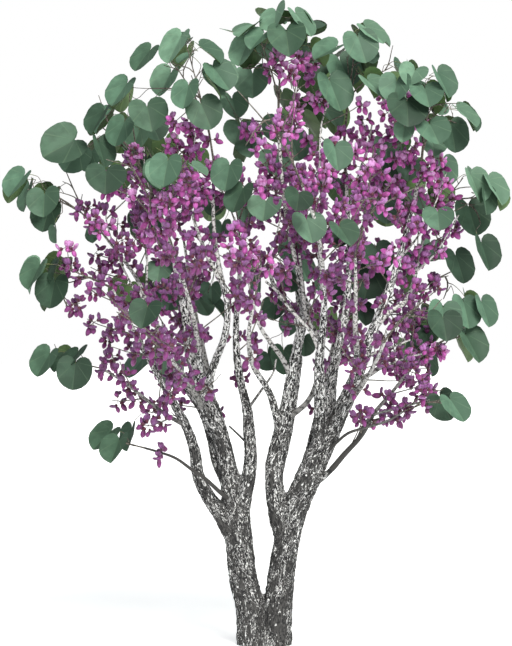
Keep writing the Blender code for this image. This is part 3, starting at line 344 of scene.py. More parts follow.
# The blossom's outline in the photograph: height, and how far it reaches to the left and to the right.
BLOSSOM_EDGE = (
    (0.72, -0.47, -0.28),
    (0.83, -0.57, 0.50),
    (0.95, -0.58, 0.65),
    (1.08, -0.67, 0.66),
    (1.20, -0.62, 0.70),
    (1.32, -0.76, 0.66),
    (1.45, -0.76, 0.70),
    (1.60, -0.80, 0.76),
    (1.75, -0.72, 0.74),
    (1.86, -0.64, 0.70),
    (1.96, -0.52, 0.66),
    (2.04, -0.38, 0.62),
    (2.10, -0.12, 0.58),
    (2.20, -0.05, 0.22),
    (2.30, -0.03, 0.18),
)

# Windows of open sky in the photograph: across and up, and their half sizes.
WINDOWS = (
    ((0.10, 1.02), (0.13, 0.17)),
    ((0.00, 0.82), (0.16, 0.20)),
    ((0.33, 0.78), (0.12, 0.10)),
    ((-0.24, 0.84), (0.05, 0.09)),
    ((0.46, 1.05), (0.05, 0.05)),
    ((0.48, 1.00), (0.12, 0.035)),
)

# Thinly set parts of the blossom's zone: middle across and up, half sizes, and the share of sprays kept.
THIN_PARTS = (
    ((0.03, 1.00), (0.33, 0.25), 0.25),
    ((0.00, 1.30), (0.28, 0.16), 0.45),
    ((0.00, 1.58), (0.26, 0.20), 0.58),
    ((-0.45, 1.45), (0.34, 0.36), 0.92),
    ((0.08, 2.16), (0.24, 0.24), 0.62),
    ((-0.33, 0.86), (0.20, 0.16), 0.80),
)

# Leaves that the photograph shows: the notch across and up, the tip across and up, the turn and the size.
# Each leaf's green was matched to how light or dark it looks, so it holds painted light and shade as well as
# the leaf's own tone.
LEAF_ROWS = {
    (Layer.FRONT, Tint.PALE): (
        (-0.33, 2.36, -0.39, 2.24, -45, 1.15), (-0.22, 2.19, -0.16, 2.11, 65, 0.85),
        (-0.05, 2.4, -0.1, 2.36, -50, 0.9), (0.04, 2.46, 0.03, 2.38, -40, 1.0),
        (0.12, 2.45, 0.19, 2.35, 55, 1.05), (0.39, 2.4, 0.47, 2.33, 55, 0.95),
        (0.4, 2.19, 0.46, 2.12, 50, 1.0), (0.58, 2.23, 0.55, 2.17, 0, 0.9),
        (0.75, 2.08, 0.82, 2.01, 55, 1.0), (0.8, 1.82, 0.84, 1.71, 45, 1.1),
        (0.87, 1.8, 0.93, 1.69, 50, 1.05), (0.0, 1.72, -0.01, 1.65, -5, 1.0),
        (0.16, 1.65, 0.18, 1.56, 15, 1.05), (-0.28, 1.86, -0.21, 1.81, 60, 0.65),
        (0.54, 2.01, 0.53, 1.95, 0, 0.65), (-0.26, 1.34, -0.22, 1.28, 35, 0.75),
    ),
    (Layer.FRONT, Tint.MID): (
        (-0.94, 1.82, -1.0, 1.74, -45, 1.0), (-0.55, 2.03, -0.59, 1.93, -40, 1.0),
        (-0.38, 1.88, -0.4, 1.78, -25, 1.0), (-0.54, 2.18, -0.6, 2.09, -45, 1.05),
        (-0.3, 2.17, -0.32, 2.08, -35, 0.95), (-0.25, 2.32, -0.15, 2.24, 60, 1.0),
        (-0.2, 2.24, -0.13, 2.14, 35, 1.05), (0.27, 2.32, 0.18, 2.27, -55, 0.95),
        (0.36, 2.36, 0.39, 2.26, 10, 1.05), (0.25, 2.19, 0.31, 2.02, 30, 1.25),
        (0.67, 2.22, 0.72, 2.11, 45, 1.05), (0.62, 2.16, 0.63, 2.09, 10, 1.0),
        (0.51, 2.19, 0.49, 2.1, -10, 1.0), (0.64, 2.02, 0.67, 1.94, 15, 1.05),
        (0.77, 1.33, 0.79, 1.23, 30, 1.05), (0.84, 1.33, 0.87, 1.23, 50, 1.0),
        (0.72, 0.95, 0.77, 0.87, 45, 1.0), (0.27, 1.93, 0.28, 1.84, 20, 1.0),
        (0.67, 1.68, 0.67, 1.61, 5, 0.9), (-0.14, 1.86, -0.16, 1.76, -25, 1.0),
        (-0.01, 2.37, -0.06, 2.31, -40, 0.85),
    ),
    (Layer.FRONT, Tint.DEEP): (
        (-0.86, 1.75, -0.86, 1.66, -10, 1.0), (-0.751, 1.957, -0.864, 1.894, -15, 1.3),
        (-0.46, 2.09, -0.44, 1.99, 0, 1.15), (-0.65, 1.95, -0.62, 1.85, 55, 1.0),
        (-0.88, 1.47, -0.93, 1.37, -40, 1.0), (-0.84, 1.13, -0.89, 1.04, -45, 1.0),
        (-0.57, 0.79, -0.6, 0.71, -40, 1.0), (-0.45, 2.31, -0.51, 2.23, -50, 1.0),
        (-0.25, 2.1, -0.21, 2.0, 10, 1.05), (0.08, 2.38, 0.09, 2.28, 5, 1.2),
        (0.85, 1.76, 0.86, 1.66, 50, 0.9), (0.78, 1.2, 0.84, 1.08, 40, 1.15),
        (0.29, 1.62, 0.33, 1.55, 20, 0.95), (-0.09, 1.77, -0.13, 1.68, -35, 1.0),
    ),
    (Layer.FRONT, Tint.DUSKY): (
        (-0.63, 2.07, -0.68, 1.98, -45, 1.0), (-0.62, 1.84, -0.62, 1.75, 5, 1.15),
        (-0.74, 1.09, -0.75, 0.99, 0, 1.0), (0.55, 2.11, 0.55, 2.01, 5, 1.2),
        (0.84, 1.56, 0.87, 1.45, 40, 1.1), (0.74, 1.51, 0.78, 1.38, 45, 1.1),
        (0.69, 1.27, 0.7, 1.18, 10, 1.05), (-0.46, 1.31, -0.48, 1.23, -5, 1.0),
        (0.13, 1.75, 0.12, 1.69, 20, 0.85),
    ),
    (Layer.BEHIND, Tint.PALE): (
        (-0.49, 2.0, -0.53, 1.89, -35, 1.0), (-0.37, 2.22, -0.42, 2.12, -30, 1.0),
        (-0.07, 2.34, -0.11, 2.24, -45, 1.0), (0.03, 2.35, 0.05, 2.26, -20, 1.05),
        (-0.05, 2.22, -0.05, 2.12, -10, 1.1), (-0.1, 2.01, -0.12, 1.95, -10, 0.9),
        (0.23, 2.08, 0.29, 2.0, 50, 0.9), (0.65, 2.12, 0.67, 2.06, 40, 0.9),
        (0.65, 1.96, 0.65, 1.9, 10, 0.85), (0.69, 1.88, 0.7, 1.77, 40, 1.0),
        (0.04, 1.9, 0.04, 1.84, 0, 1.0), (-0.06, 1.96, -0.06, 1.89, -20, 0.9),
        (0.47, 1.95, 0.47, 1.88, 10, 0.85), (0.59, 1.74, 0.58, 1.69, 20, 0.7),
        (-0.41, 1.47, -0.42, 1.41, -10, 0.8), (-0.37, 1.09, -0.38, 1.01, 20, 0.8),
        (0.64, 1.56, 0.63, 1.49, 30, 0.8), (-0.13, 2.12, -0.11, 2.04, 10, 0.9),
        (0.04, 2.04, 0.03, 1.96, -30, 0.8), (0.26, 1.79, 0.31, 1.73, 50, 0.7),
        (0.56, 1.86, 0.55, 1.8, 0, 0.8), (0.1, 1.26, 0.09, 1.2, -10, 0.7),
    ),
    (Layer.BEHIND, Tint.MID): (
        (-0.48, 1.11, -0.53, 1.04, -45, 0.95), (0.29, 2.27, 0.34, 2.15, 20, 1.1),
        (0.17, 1.8, 0.16, 1.74, 0, 0.8), (0.47, 1.74, 0.47, 1.63, 10, 1.05),
        (-0.65, 1.62, -0.67, 1.56, -40, 0.7), (-0.21, 1.39, -0.21, 1.32, -10, 0.7),
        (-0.08, 1.7, -0.08, 1.63, 20, 0.8), (-0.68, 1.91, -0.7, 1.83, -20, 0.75),
        (-0.45, 2.04, -0.41, 1.96, 20, 0.9), (-0.3, 2.29, -0.34, 2.26, -50, 0.55),
        (-0.36, 1.38, -0.38, 1.3, -10, 0.85), (-0.17, 1.63, -0.18, 1.56, -20, 0.75),
        (0.1, 1.97, 0.13, 1.88, 10, 0.95), (0.5, 1.7, 0.53, 1.63, 20, 0.9),
        (0.11, 1.56, 0.08, 1.49, -20, 0.8), (0.12, 1.5, 0.17, 1.41, 45, 1.0),
        (0.08, 1.44, 0.1, 1.37, 25, 0.85), (-0.03, 1.45, -0.02, 1.35, -65, 0.8),
        (-0.732, 1.922, -0.794, 1.813, 20, 0.98),
    ),
    (Layer.BEHIND, Tint.DEEP): (
        (-0.92, 1.78, -0.95, 1.65, -60, 1.0), (-0.6, 0.83, -0.67, 0.76, -50, 1.0),
        (0.2, 2.3, 0.18, 2.2, 20, 1.0), (0.72, 2.02, 0.74, 1.9, 30, 1.1), (0.79, 1.7, 0.82, 1.58, 25, 1.15),
        (0.63, 1.12, 0.65, 1.03, 60, 0.8), (0.25, 1.41, 0.26, 1.34, 10, 0.95),
        (0.04, 1.33, 0.03, 1.26, -20, 0.8), (0.07, 1.14, 0.07, 1.04, 10, 0.9),
        (0.01, 1.13, 0.03, 1.07, -30, 0.8), (-0.49, 1.67, -0.49, 1.61, -20, 0.7),
        (0.58, 1.17, 0.57, 1.08, 40, 0.9), (-0.45, 1.67, -0.42, 1.6, 30, 0.75),
        (-0.21, 1.33, -0.15, 1.26, 60, 0.8), (-0.2, 1.73, -0.21, 1.66, 20, 0.65),
        (-0.82, 1.62, -0.81, 1.54, -65, 0.6), (0.29, 2.29, 0.25, 2.26, -50, 0.7),
        (0.48, 1.86, 0.49, 1.79, 10, 0.85), (0.43, 1.54, 0.45, 1.44, 10, 0.95),
        (0.57, 1.52, 0.58, 1.46, 10, 0.7),
    ),
    (Layer.BEHIND, Tint.DUSKY): (
        (-0.84, 1.7, -0.87, 1.59, -20, 1.0), (-0.82, 1.41, -0.84, 1.3, -15, 1.05),
        (-0.81, 1.49, -0.83, 1.42, -65, 0.8), (-0.73, 1.14, -0.77, 1.08, -40, 0.9),
        (-0.52, 0.84, -0.54, 0.75, -60, 0.9), (0.68, 0.96, 0.72, 0.87, -20, 0.95),
        (0.15, 1.19, 0.15, 1.12, 40, 0.7), (-0.46, 1.89, -0.48, 1.83, -30, 0.55),
        (0.29, 1.6, 0.27, 1.54, -10, 0.75), (0.41, 1.45, 0.38, 1.33, -5, 1.1),
        (0.37, 1.31, 0.39, 1.24, 30, 0.75), (-0.78, 1.11, -0.82, 1.06, -40, 0.7),
        (0.63, 1.22, 0.62, 1.15, -20, 0.85),
    ),
}
SPOTS = [
    Spot((row[0], row[1]), (row[2], row[3]), row[4], tint, row[5], layer)
    for (layer, tint), rows in LEAF_ROWS.items()
    for row in rows
]


class Graph:
    """Adds nodes to a node tree and wires each one as it is added."""

    def __init__(self, tree: bpy.types.NodeTree) -> None:
        """Keeps the tree that nodes are added to."""
        self.tree = tree

    def fill(self, node: bpy.types.Node, sockets: dict[str, object]) -> None:
        """Sets or wires inputs of a node.

        Args:
            node: the node.
            sockets: a value or an output socket for each input, by identifier or name, with _ for a space.
        """
        for key, value in sockets.items():
            wanted = (key, key.replace("_", " "))
            socket = next(s for s in node.inputs if s.identifier in wanted or s.name in wanted)
            if isinstance(value, Socket):
                self.tree.links.new(value, socket)
            else:
                socket.default_value = value

    def add(self, kind: str, settings: dict | None = None, **sockets: object) -> bpy.types.Node:
        """Adds a node.

        Args:
            kind: the node's type.
            settings: properties of the node itself.
            **sockets: what its inputs are filled with.

        Returns:
            The node.
        """
        node = self.tree.nodes.new(kind)
        for name, value in (settings or {}).items():
            setattr(node, name, value)
        self.fill(node, sockets)
        return node

    def maths(self, operation: str, first: object, second: object = 0.0) -> Socket:
        """The result of a sum on one or two values."""
        node = self.add("ShaderNodeMath", {"operation": operation}, Value=first, Value_001=second)
        return node.outputs[0]

    def times(self, first: object, second: object) -> Socket:
        """The product of two values."""
        return self.maths("MULTIPLY", first, second)

    def plus(self, first: object, second: object) -> Socket:
        """The sum of two values."""
        return self.maths("ADD", first, second)

    def less(self, first: object, second: object) -> Socket:
        """The first value less the second."""
        return self.maths("SUBTRACT", first, second)

    def ramp(self, value: object, low: float, high: float, **ends: object) -> Socket:
        """A value spread from 0 at low to 1 at high, or from To_Min to To_Max, and clamped there."""
        node = self.add("ShaderNodeMapRange", Value=value, From_Min=low, From_Max=high, **ends)
        return node.outputs["Result"]

    def noise(self, place: Socket, scale: object, detail: float, **more: float) -> Socket:
        """A noise over places, most of it near a half."""
        node = self.add("ShaderNodeTexNoise", Vector=place, Scale=scale, Detail=detail, **more)
        return node.outputs["Fac"]

    def blend(self, share: object, first: object, second: object) -> Socket:
        """A colour between two colours.

        Args:
            share: how far it is on the way to the second.
            first: a colour, or a socket that gives one.
            second: the other.

        Returns:
            The socket of the blended colour.
        """
        a, b = (end if isinstance(end, Socket) else (*end, 1.0) for end in (first, second))
        node = self.add("ShaderNodeMix", {"data_type": "RGBA"}, Factor_Float=share, A_Color=a, B_Color=b)
        return next(s for s in node.outputs if s.identifier == "Result_Color")


class Surface(Graph):
    """A material's nodes, which read places on the object itself."""

    def __init__(self, name: str) -> None:
        """Starts a material.

        Args:
            name: its name.
        """
        self.material = bpy.data.materials.new(name)
        self.material.use_nodes = True
        super().__init__(self.material.node_tree)
        self.place = self.add("ShaderNodeTexCoord").outputs["Object"]

    def mark(self, name: str, output: str = "Vector") -> Socket:
        """A named attribute of the mesh."""
        return self.add("ShaderNodeAttribute", {"attribute_name": name}).outputs[output]

    def part(self, vector: Socket, axis: str) -> Socket:
        """One part of a vector."""
        return self.add("ShaderNodeSeparateXYZ", Vector=vector).outputs[axis]

    def bump(self, strength: float, depth: float, height: Socket) -> Socket:
        """A fine relief that only the light sees."""
        node = self.add("ShaderNodeBump", Strength=strength, Distance=depth, Height=height)
        return node.outputs["Normal"]

    def dress(self, **sockets: object) -> Material:
        """Fills the main shader's inputs and returns the finished material."""
        self.fill(self.tree.nodes["Principled BSDF"], sockets)
        return self.material


class Recipe(Graph):
    """A Geometry Nodes tree with named inputs, one of them the finish."""

    def __init__(self, name: str, inputs: dict[str, str]) -> None:
        """Starts the tree.

        Args:
            name: its name.
            inputs: the kind of each named input between the geometry and the finish.
        """
        super().__init__(bpy.data.node_groups.new(name, "GeometryNodeTree"))
        ends = self.tree.interface
        ends.new_socket("Geometry", in_out="INPUT", socket_type="NodeSocketGeometry")
        self.names = {
            label: ends.new_socket(label, in_out="INPUT", socket_type="NodeSocket" + kind).identifier
            for label, kind in {**inputs, "Finish": "Material"}.items()
        }
        ends.new_socket("Geometry", in_out="OUTPUT", socket_type="NodeSocketGeometry")
        self.inputs = self.add("NodeGroupInput").outputs

    def mark(self, name: str, kind: str) -> Socket:
        """A named attribute of the geometry."""
        node = self.add("GeometryNodeInputNamedAttribute", {"data_type": kind}, Name=name)
        return node.outputs["Attribute"]

    def then(self, kind: str, **sockets: object) -> Socket:
        """The geometry that a node makes."""
        return self.add(kind, **sockets).outputs["Geometry"]

    def close(self, geometry: Socket, under: Socket | None = None) -> None:
        """Ends the tree with real geometry, shaded smooth, in its finish.

        Args:
            geometry: what the tree has made.
            under: which faces get the input named Under finish instead.
        """
        real = self.then("GeometryNodeRealizeInstances", Geometry=geometry)
        smooth = self.then("GeometryNodeSetShadeSmooth", Geometry=real)
        done = self.then("GeometryNodeSetMaterial", Geometry=smooth, Material=self.inputs["Finish"])
        if under is not None:
            finish = self.inputs["Under finish"]
            done = self.then("GeometryNodeSetMaterial", Geometry=done, Selection=under, Material=finish)
        self.add("NodeGroupOutput", Geometry=done)

    def run(self, obj: Object, name: str, values: dict[str, object]) -> Object:
        """Runs the tree on an object, with its inputs set by their identifiers.

        Args:
            obj: the object, which is used up.
            name: the name of what comes out.
            values: a value for each named input.

        Returns:
            The result as a plain mesh object.
        """
        modifier = obj.modifiers.new(self.tree.name, "NODES")
        modifier.node_group = self.tree
        for label, value in values.items():
            modifier[self.names[label]] = value
        return settle(obj, name)


def put_in_scene(name: str, data: bpy.types.ID) -> Object:
    """Puts a new object in the scene, at the origin.

    Args:
        name: its name.
        data: its mesh, curve, light or camera.

    Returns:
        The object.
    """
    obj = bpy.data.objects.new(name, data)
    bpy.context.scene.collection.objects.link(obj)
    return obj


def settle(obj: Object, name: str) -> Object:
    """Makes a plain mesh object of an object with its modifiers, and removes the object.

    Args:
        obj: the object with its modifiers.
        name: the piece's name.

    Returns:
        The plain mesh object, at the origin.
    """
    graph = bpy.context.evaluated_depsgraph_get()
    solid = obj.evaluated_get(graph)
    mesh = bpy.data.meshes.new_from_object(solid, preserve_all_data_layers=True, depsgraph=graph)
    mesh.name = name
    bpy.data.objects.remove(obj)
    return put_in_scene(name, mesh)


def sheet(name: str, points: list[Vector], faces: list[tuple[int, ...]]) -> Mesh:
    """A mesh from points and faces.

    Args:
        name: the mesh's name.
        points: its points.
        faces: the numbers of each face's points.

    Returns:
        The mesh.
    """
    mesh = bpy.data.meshes.new(name)
    mesh.from_pydata([tuple(p) for p in points], [], faces)
    mesh.update()
    return mesh


def mark(mesh: Mesh, name: str, kind: str, values: object, domain: str = "POINT") -> None:
    """Stores a named value for each point or face of a mesh.

    Args:
        mesh: the mesh.
        name: the attribute's name.
        kind: its type.
        values: a value for each point or face, in order.
        domain: whether it goes on points or faces.
    """
    number = {"FLOAT": np.float32, "FLOAT_VECTOR": np.float32, "INT": np.int32, "BOOLEAN": bool}[kind]
    data = mesh.attributes.new(name, kind, domain).data
    data.foreach_set("vector" if kind == "FLOAT_VECTOR" else "value", np.asarray(values, number).ravel())


@contextmanager
def opened(mesh: Mesh) -> Iterator[bmesh.types.BMesh]:
    """Opens a mesh for work on its faces, and closes it again.

    Args:
        mesh: the mesh.

    Yields:
        The opened mesh.
    """
    work = bmesh.new()
    work.from_mesh(mesh)
    yield work
    work.to_mesh(mesh)
    work.free()


def search_tree(places: list[Vector]) -> KDTree:
    """A tree that finds the nearest of some places.

    Args:
        places: the places.

    Returns:
        The tree.
    """
    tree = KDTree(len(places))
    for i, place in enumerate(places):
        tree.insert(place, i)
    tree.balance()
    return tree


@dataclass(frozen=True)
class BarkFinish:
    """Dark grey bark with fine pale squiggles and specks along the limb, paler up the tree."""

    name: str = "grey_bark"
    dark: Triple = (0.016, 0.016, 0.017)
    brown: Triple = (0.085, 0.083, 0.080)
    pale: Triple = (0.93, 0.93, 0.92)
    # The heights between which bark turns pale, and between which it is young.
    paler: Pair = (0.30, 1.10)
    young: Pair = (0.80, 1.45)
    # The noises' scales, and their detail.
    grain_scale: float = 160.0
    line_scale: float = 78.0
    patch_scale: float = 26.0
    speck_scale: float = 108.0
    fine: float = 4.0
    plain: float = 2.0
    # How wide the squiggles are, how soft their edge is, and how much they widen on pale and young bark.
    line_width: float = 0.028
    line_edge: float = 0.008
    line_growth: Pair = (0.014, 0.045)
    # How much the patches that hold squiggles grow on pale and young bark, and the specks on young bark.
    patch_growth: Pair = (0.06, 0.13)
    speck_growth: float = 0.08
    # Between these values of each noise its marks set in.
    brown_marks: Pair = (0.40, 0.62)
    patch_marks: Pair = (0.47, 0.50)
    speck_marks: Pair = (0.66, 0.68)
    fleck_marks: Pair = (0.42, 0.48)
    roughness: Pair = (0.75, 0.98)
    relief: Pair = (0.9, 0.004)
    pale_relief: float = 0.7
    gloss: float = 0.2

    def material(self) -> Material:
        """The bark, which reads the skin's own grain.

        Returns:
            The material.
        """
        bark = Surface(self.name)
        along = bark.mark("grain")
        height = bark.part(bark.place, "Z")
        age = bark.ramp(height, *self.paler)
        youth = bark.ramp(height, *self.young)
        grain = bark.noise(along, self.grain_scale, self.fine, Roughness=0.65)
        lines = bark.noise(along, self.line_scale, self.plain, Distortion=1.7)
        patches = bark.noise(along, self.patch_scale, self.fine, Roughness=0.65)
        specks = bark.noise(along, self.speck_scale, self.plain, Distortion=0.8)
        ground = bark.blend(bark.ramp(grain, *self.brown_marks), self.dark, self.brown)
        off = bark.maths("ABSOLUTE", bark.less(lines, 0.5))
        width = bark.plus(bark.times(age, self.line_growth[0]), self.line_width)
        width = bark.plus(bark.times(youth, self.line_growth[1]), width)
        thin = bark.ramp(bark.less(width, off), 0.0, self.line_edge)
        patches = bark.plus(patches, bark.times(age, self.patch_growth[0]))
        patches = bark.plus(patches, bark.times(youth, self.patch_growth[1]))
        squiggles = bark.times(thin, bark.ramp(patches, *self.patch_marks))
        specks = bark.plus(specks, bark.times(youth, self.speck_growth))
        share = bark.maths("MAXIMUM", squiggles, bark.ramp(specks, *self.speck_marks))
        share = bark.times(share, bark.ramp(grain, *self.fleck_marks))
        rough, smooth = self.roughness
        return bark.dress(
            Base_Color=bark.blend(share, ground, self.pale),
            Roughness=bark.ramp(grain, 0.0, 1.0, To_Min=rough, To_Max=smooth),
            Specular_IOR_Level=self.gloss,
            Normal=bark.bump(*self.relief, bark.plus(grain, bark.times(share, self.pale_relief))),
        )


@dataclass(frozen=True)
class TwigFinish:
    """Thin bark with fine mottling: pale grey on small boughs, brown on twigs, green on leaf stalks."""

    name: str
    dark: Triple
    light: Triple
    scale: float
    # Between these values of the noise, and between these heights, the light mottling sets in.
    marks: Pair = (0.42, 0.58)
    heights: Pair = (-2.0, -1.0)
    relief: Pair = (0.5, 0.001)
    roughness: float = 0.8
    gloss: float = 0.3

    def material(self) -> Material:
        """The mottled bark.

        Returns:
            The material.
        """
        bark = Surface(self.name)
        noise = bark.noise(bark.place, self.scale, 4.0, Roughness=0.6)
        risen = bark.ramp(bark.part(bark.place, "Z"), *self.heights)
        share = bark.times(bark.ramp(noise, *self.marks), risen)
        return bark.dress(
            Base_Color=bark.blend(share, self.dark, self.light),
            Roughness=self.roughness,
            Specular_IOR_Level=self.gloss,
            Normal=bark.bump(*self.relief, noise),
        )


def scaled(colour: Triple, share: float) -> Triple:
    """A colour made darker by a share."""
    return tuple(part * share for part in colour)


@dataclass(frozen=True)
class LeafFinish:
    """A leaf's face: one green, with painted shade on one half, soft mottling and pale veins from the notch.
    """

    name: str
    green: Triple
    vein: Triple
    cloud_scale: float = 22.0
    cloud_marks: Pair = (0.40, 0.60)
    # The green in the clouds and on the half with painted shade, as shares of the plain green.
    clouded: float = 0.76
    shaded_half_tone: float = 0.52
    # Across the midrib the painted shade on one half sets in, and how strongly.
    shade_half_marks: Pair = (0.02, -0.02)
    shade_half_share: float = 0.80
    # The veins fan out from this far behind the notch: how close, how thin and how strong.
    vein_origin: float = 0.06
    vein_count: float = 9.0
    vein_marks: Pair = (0.93, 1.0)
    vein_share: float = 0.35
    vein_relief: float = 0.5
    relief: Pair = (0.35, 0.002)
    roughness: float = 0.55
    gloss: float = 0.22

    def material(self) -> Material:
        """The leaf's face, whose veins read the leaf's own blade attribute.

        Returns:
            The material.
        """
        leaf = Surface(self.name)
        clouds = leaf.noise(leaf.place, self.cloud_scale, 3.0)
        blade = leaf.mark("blade")
        side, along = leaf.part(blade, "X"), leaf.part(blade, "Y")
        clouded = scaled(self.green, self.clouded)
        green = leaf.blend(leaf.ramp(clouds, *self.cloud_marks), clouded, self.green)
        # Painted shade: one half of the blade is darker, as if turned away from the light.
        half = leaf.times(leaf.ramp(side, *self.shade_half_marks), self.shade_half_share)
        green = leaf.blend(half, green, scaled(self.green, self.shaded_half_tone))
        angle = leaf.maths("ARCTAN2", side, leaf.plus(along, self.vein_origin))
        veins = leaf.ramp(leaf.maths("COSINE", leaf.times(angle, self.vein_count)), *self.vein_marks)
        return leaf.dress(
            Base_Color=leaf.blend(leaf.times(veins, self.vein_share), green, self.vein),
            Roughness=self.roughness,
            Specular_IOR_Level=self.gloss,
            Normal=leaf.bump(*self.relief, leaf.plus(leaf.times(veins, self.vein_relief), clouds)),
        )


@dataclass(frozen=True)
class PetalFinish:
    """A petal: one colour, darker in soft streaks and with painted shade at its foot, with a velvety sheen.
    """

    name: str
    colour: Triple
    # The colour of the streaks, also used for the painted shade at the foot.
    streak: Triple
    scale: float = 60.0
    streak_marks: Pair = (0.42, 0.72)
    # The painted shade at the foot fades out at this share of the petal's length.
    foot: float = 0.42
    relief: Pair = (0.3, 0.001)
    roughness: float = 0.5
    sheen: float = 0.2

    def material(self) -> Material:
        """The petal, which reads how far along its own part each point is.

        Returns:
            The material.
        """
        petal = Surface(self.name)
        noise = petal.noise(petal.place, self.scale, 3.0)
        # Painted shade: darker towards the foot of each part, where the parts crowd together.
        foot = petal.ramp(petal.mark("reach", "Fac"), self.foot, 0.0)
        share = petal.maths("MAXIMUM", petal.ramp(noise, *self.streak_marks), foot)
        return petal.dress(
            Base_Color=petal.blend(share, self.colour, self.streak),
            Roughness=self.roughness,
            Sheen_Weight=self.sheen,
            Normal=petal.bump(*self.relief, noise),
        )


class LimbPath:
    """The smooth centre line of a limb, and its radius along it, by the solids' own rule."""

    # How often the search for a height halves its range, and the step that a direction is measured over.
    HALVINGS = 30
    STEP = 0.004

    def __init__(self, limb: Limb, start: Vector) -> None:
        """Measures the line through the limb's points.

        Args:
            limb: the limb.
            start: where it leaves its parent's centre line.
        """
        self.limb = limb
        self.knots = [start] + [Vector(place) for place in limb.through]
        spans = [(b - a).length for a, b in zip(self.knots, self.knots[1:])]
        self.places = [sum(spans[:i]) for i in range(len(self.knots))]
        self.length = self.places[-1]
        self.tip = self.knots[-1]

    def slope(self, i: int) -> Vector:
        """Direction of the line at a knot, per metre of its length."""
        low, high = max(0, i - 1), min(len(self.knots) - 1, i + 1)
        return (self.knots[high] - self.knots[low]) / (self.places[high] - self.places[low])

    def point(self, share: float) -> Vector:
        """The point at a share of the way from the limb's start to its tip.

        Args:
            share: the share, kept between 0 and 1.

        Returns:
            The point on the centre line.
        """
        place = min(1.0, max(0.0, share)) * self.length
        i = max(0, min(len(self.knots) - 2, sum(1 for knot in self.places if knot <= place) - 1))
        span = self.places[i + 1] - self.places[i]
        t = (place - self.places[i]) / span
        start, end = self.knots[i], self.knots[i + 1]
        leaving, arriving = self.slope(i) * span, self.slope(i + 1) * span
        share_on = t * t * (3.0 - 2.0 * t)
        return start.lerp(end, share_on) + leaving * t * (1.0 - t) ** 2 - arriving * t * t * (1.0 - t)

    def tangent(self, share: float) -> Vector:
        """The direction at a share of the way."""
        return (self.point(share + self.STEP) - self.point(share - self.STEP)).normalized()

    def radius(self, share: float) -> float:
        """The radius at a share of the way. A stem also flares at the ground.

        Args:
            share: the share, kept between 0 and 1.

        Returns:
            The radius.
        """
        radii = self.limb.radii
        place = min(1.0, max(0.0, share)) * (len(radii) - 1)
        i = min(len(radii) - 2, int(place))
        radius = radii[i] + (radii[i + 1] - radii[i]) * (place - i)
        if not self.limb.parent:
            radius += FLARE * math.exp(-max(0.0, self.point(share).z) / FLARE_HEIGHT)
        return radius

    def share_at(self, height: float) -> float:
        """Finds where a rising limb reaches a height.

        Args:
            height: the height over the ground.

        Returns:
            The share of the way at which it does.
        """
        low, high = 0.0, 1.0
        for _ in range(self.HALVINGS):
            middle = (low + high) / 2.0
            if self.point(middle).z < height:
                low = middle
            else:
                high = middle
        return low


def add_paths(limbs: tuple[Limb, ...], paths: dict[str, LimbPath]) -> None:
    """Adds the path of each limb to those there are.

    Args:
        limbs: the limbs, each after its parent.
        paths: the paths by name.
    """
    for limb in limbs:
        if limb.parent:
            parent = paths[limb.parent]
            start = parent.point(parent.share_at(limb.from_height))
        else:
            start = Vector(STEM_FEET[limb.name])
        paths[limb.name] = LimbPath(limb, start)


def across(direction: Vector, angle: float) -> Vector:
    """Finds a direction across another.

    Args:
        direction: the unit vector that it is square to.
        angle: how far round it lies.

    Returns:
        The unit vector across.
    """
    upright = 0.05
    side = direction.cross(UP)
    if side.length < upright:
        side = direction.cross(AHEAD)
    side.normalize()
    return side * math.cos(angle) + direction.cross(side) * math.sin(angle)


def length_of(points: list[Vector]) -> float:
    """The length of a line of points."""
    return sum((b - a).length for a, b in zip(points, points[1:]))


def taper(start: float, end: float, count: int) -> list[float]:
    """Radii evenly spread from start to end."""
    return list(np.linspace(start, end, count))


def along_points(points: list[Vector], share: float) -> tuple[Vector, Vector]:
    """Finds a place on a short line of points.

    Args:
        points: the line.
        share: the share of its steps.

    Returns:
        The point and the line's direction there.
    """
    place = max(0.0, share * (len(points) - 1))
    i = min(len(points) - 2, int(place))
    step = points[i + 1] - points[i]
    return points[i] + step * (place - i), step.normalized()


def curve_between(
    start: Vector, leaving: Vector, end: Vector, arriving: Vector, count: int
) -> list[Vector]:
    """Draws a smooth line.

    Args:
        start: its first point.
        leaving: its direction there.
        end: its last point.
        arriving: its direction there.
        count: how many points it has.

    Returns:
        The points.
    """
    reach = (end - start).length / 3.0
    a, b = start + leaving.normalized() * reach, end - arriving.normalized() * reach
    line = []
    for i in range(count):
        t = i / (count - 1)
        s = 1.0 - t
        line.append(start * s**3 + a * 3.0 * s * s * t + b * 3.0 * s * t * t + end * t**3)
    return line


@dataclass
class Strand:
    """A limb or twig as drawn. It is drawn only if it, or a strand that leaves from it, bears something."""

    points: list[Vector]
    radii: list[float]
    parent: int | None = None
    bears: bool = False


@dataclass
class LeafPlace:
    """A leaf in its place: the notch, the blade's direction and facing, its size, tint and shape."""

    notch: Vector
    along: Vector
    facing: Vector
    size: float
    tint: Tint
    shape: int

    def on_blade(self, share: float) -> Vector:
        """The point at a share of the way from the notch to the tip."""
        return self.notch + self.along * self.size * LEAF_WIDTH * BLADE * share

    def turn(self) -> Triple:
        """The leaf's turn, from its blade's direction and facing."""
        side = self.along.cross(self.facing).normalized()
        return tuple(Matrix((side, self.along, side.cross(self.along).normalized())).transposed().to_euler())


@dataclass
class FlowerPlace:
    """A flower in its place: where its stalk leaves the twig, its turn, its size and tone."""

    root: Vector
    turn: Triple
    size: float
    shade: Shade
    shape: int


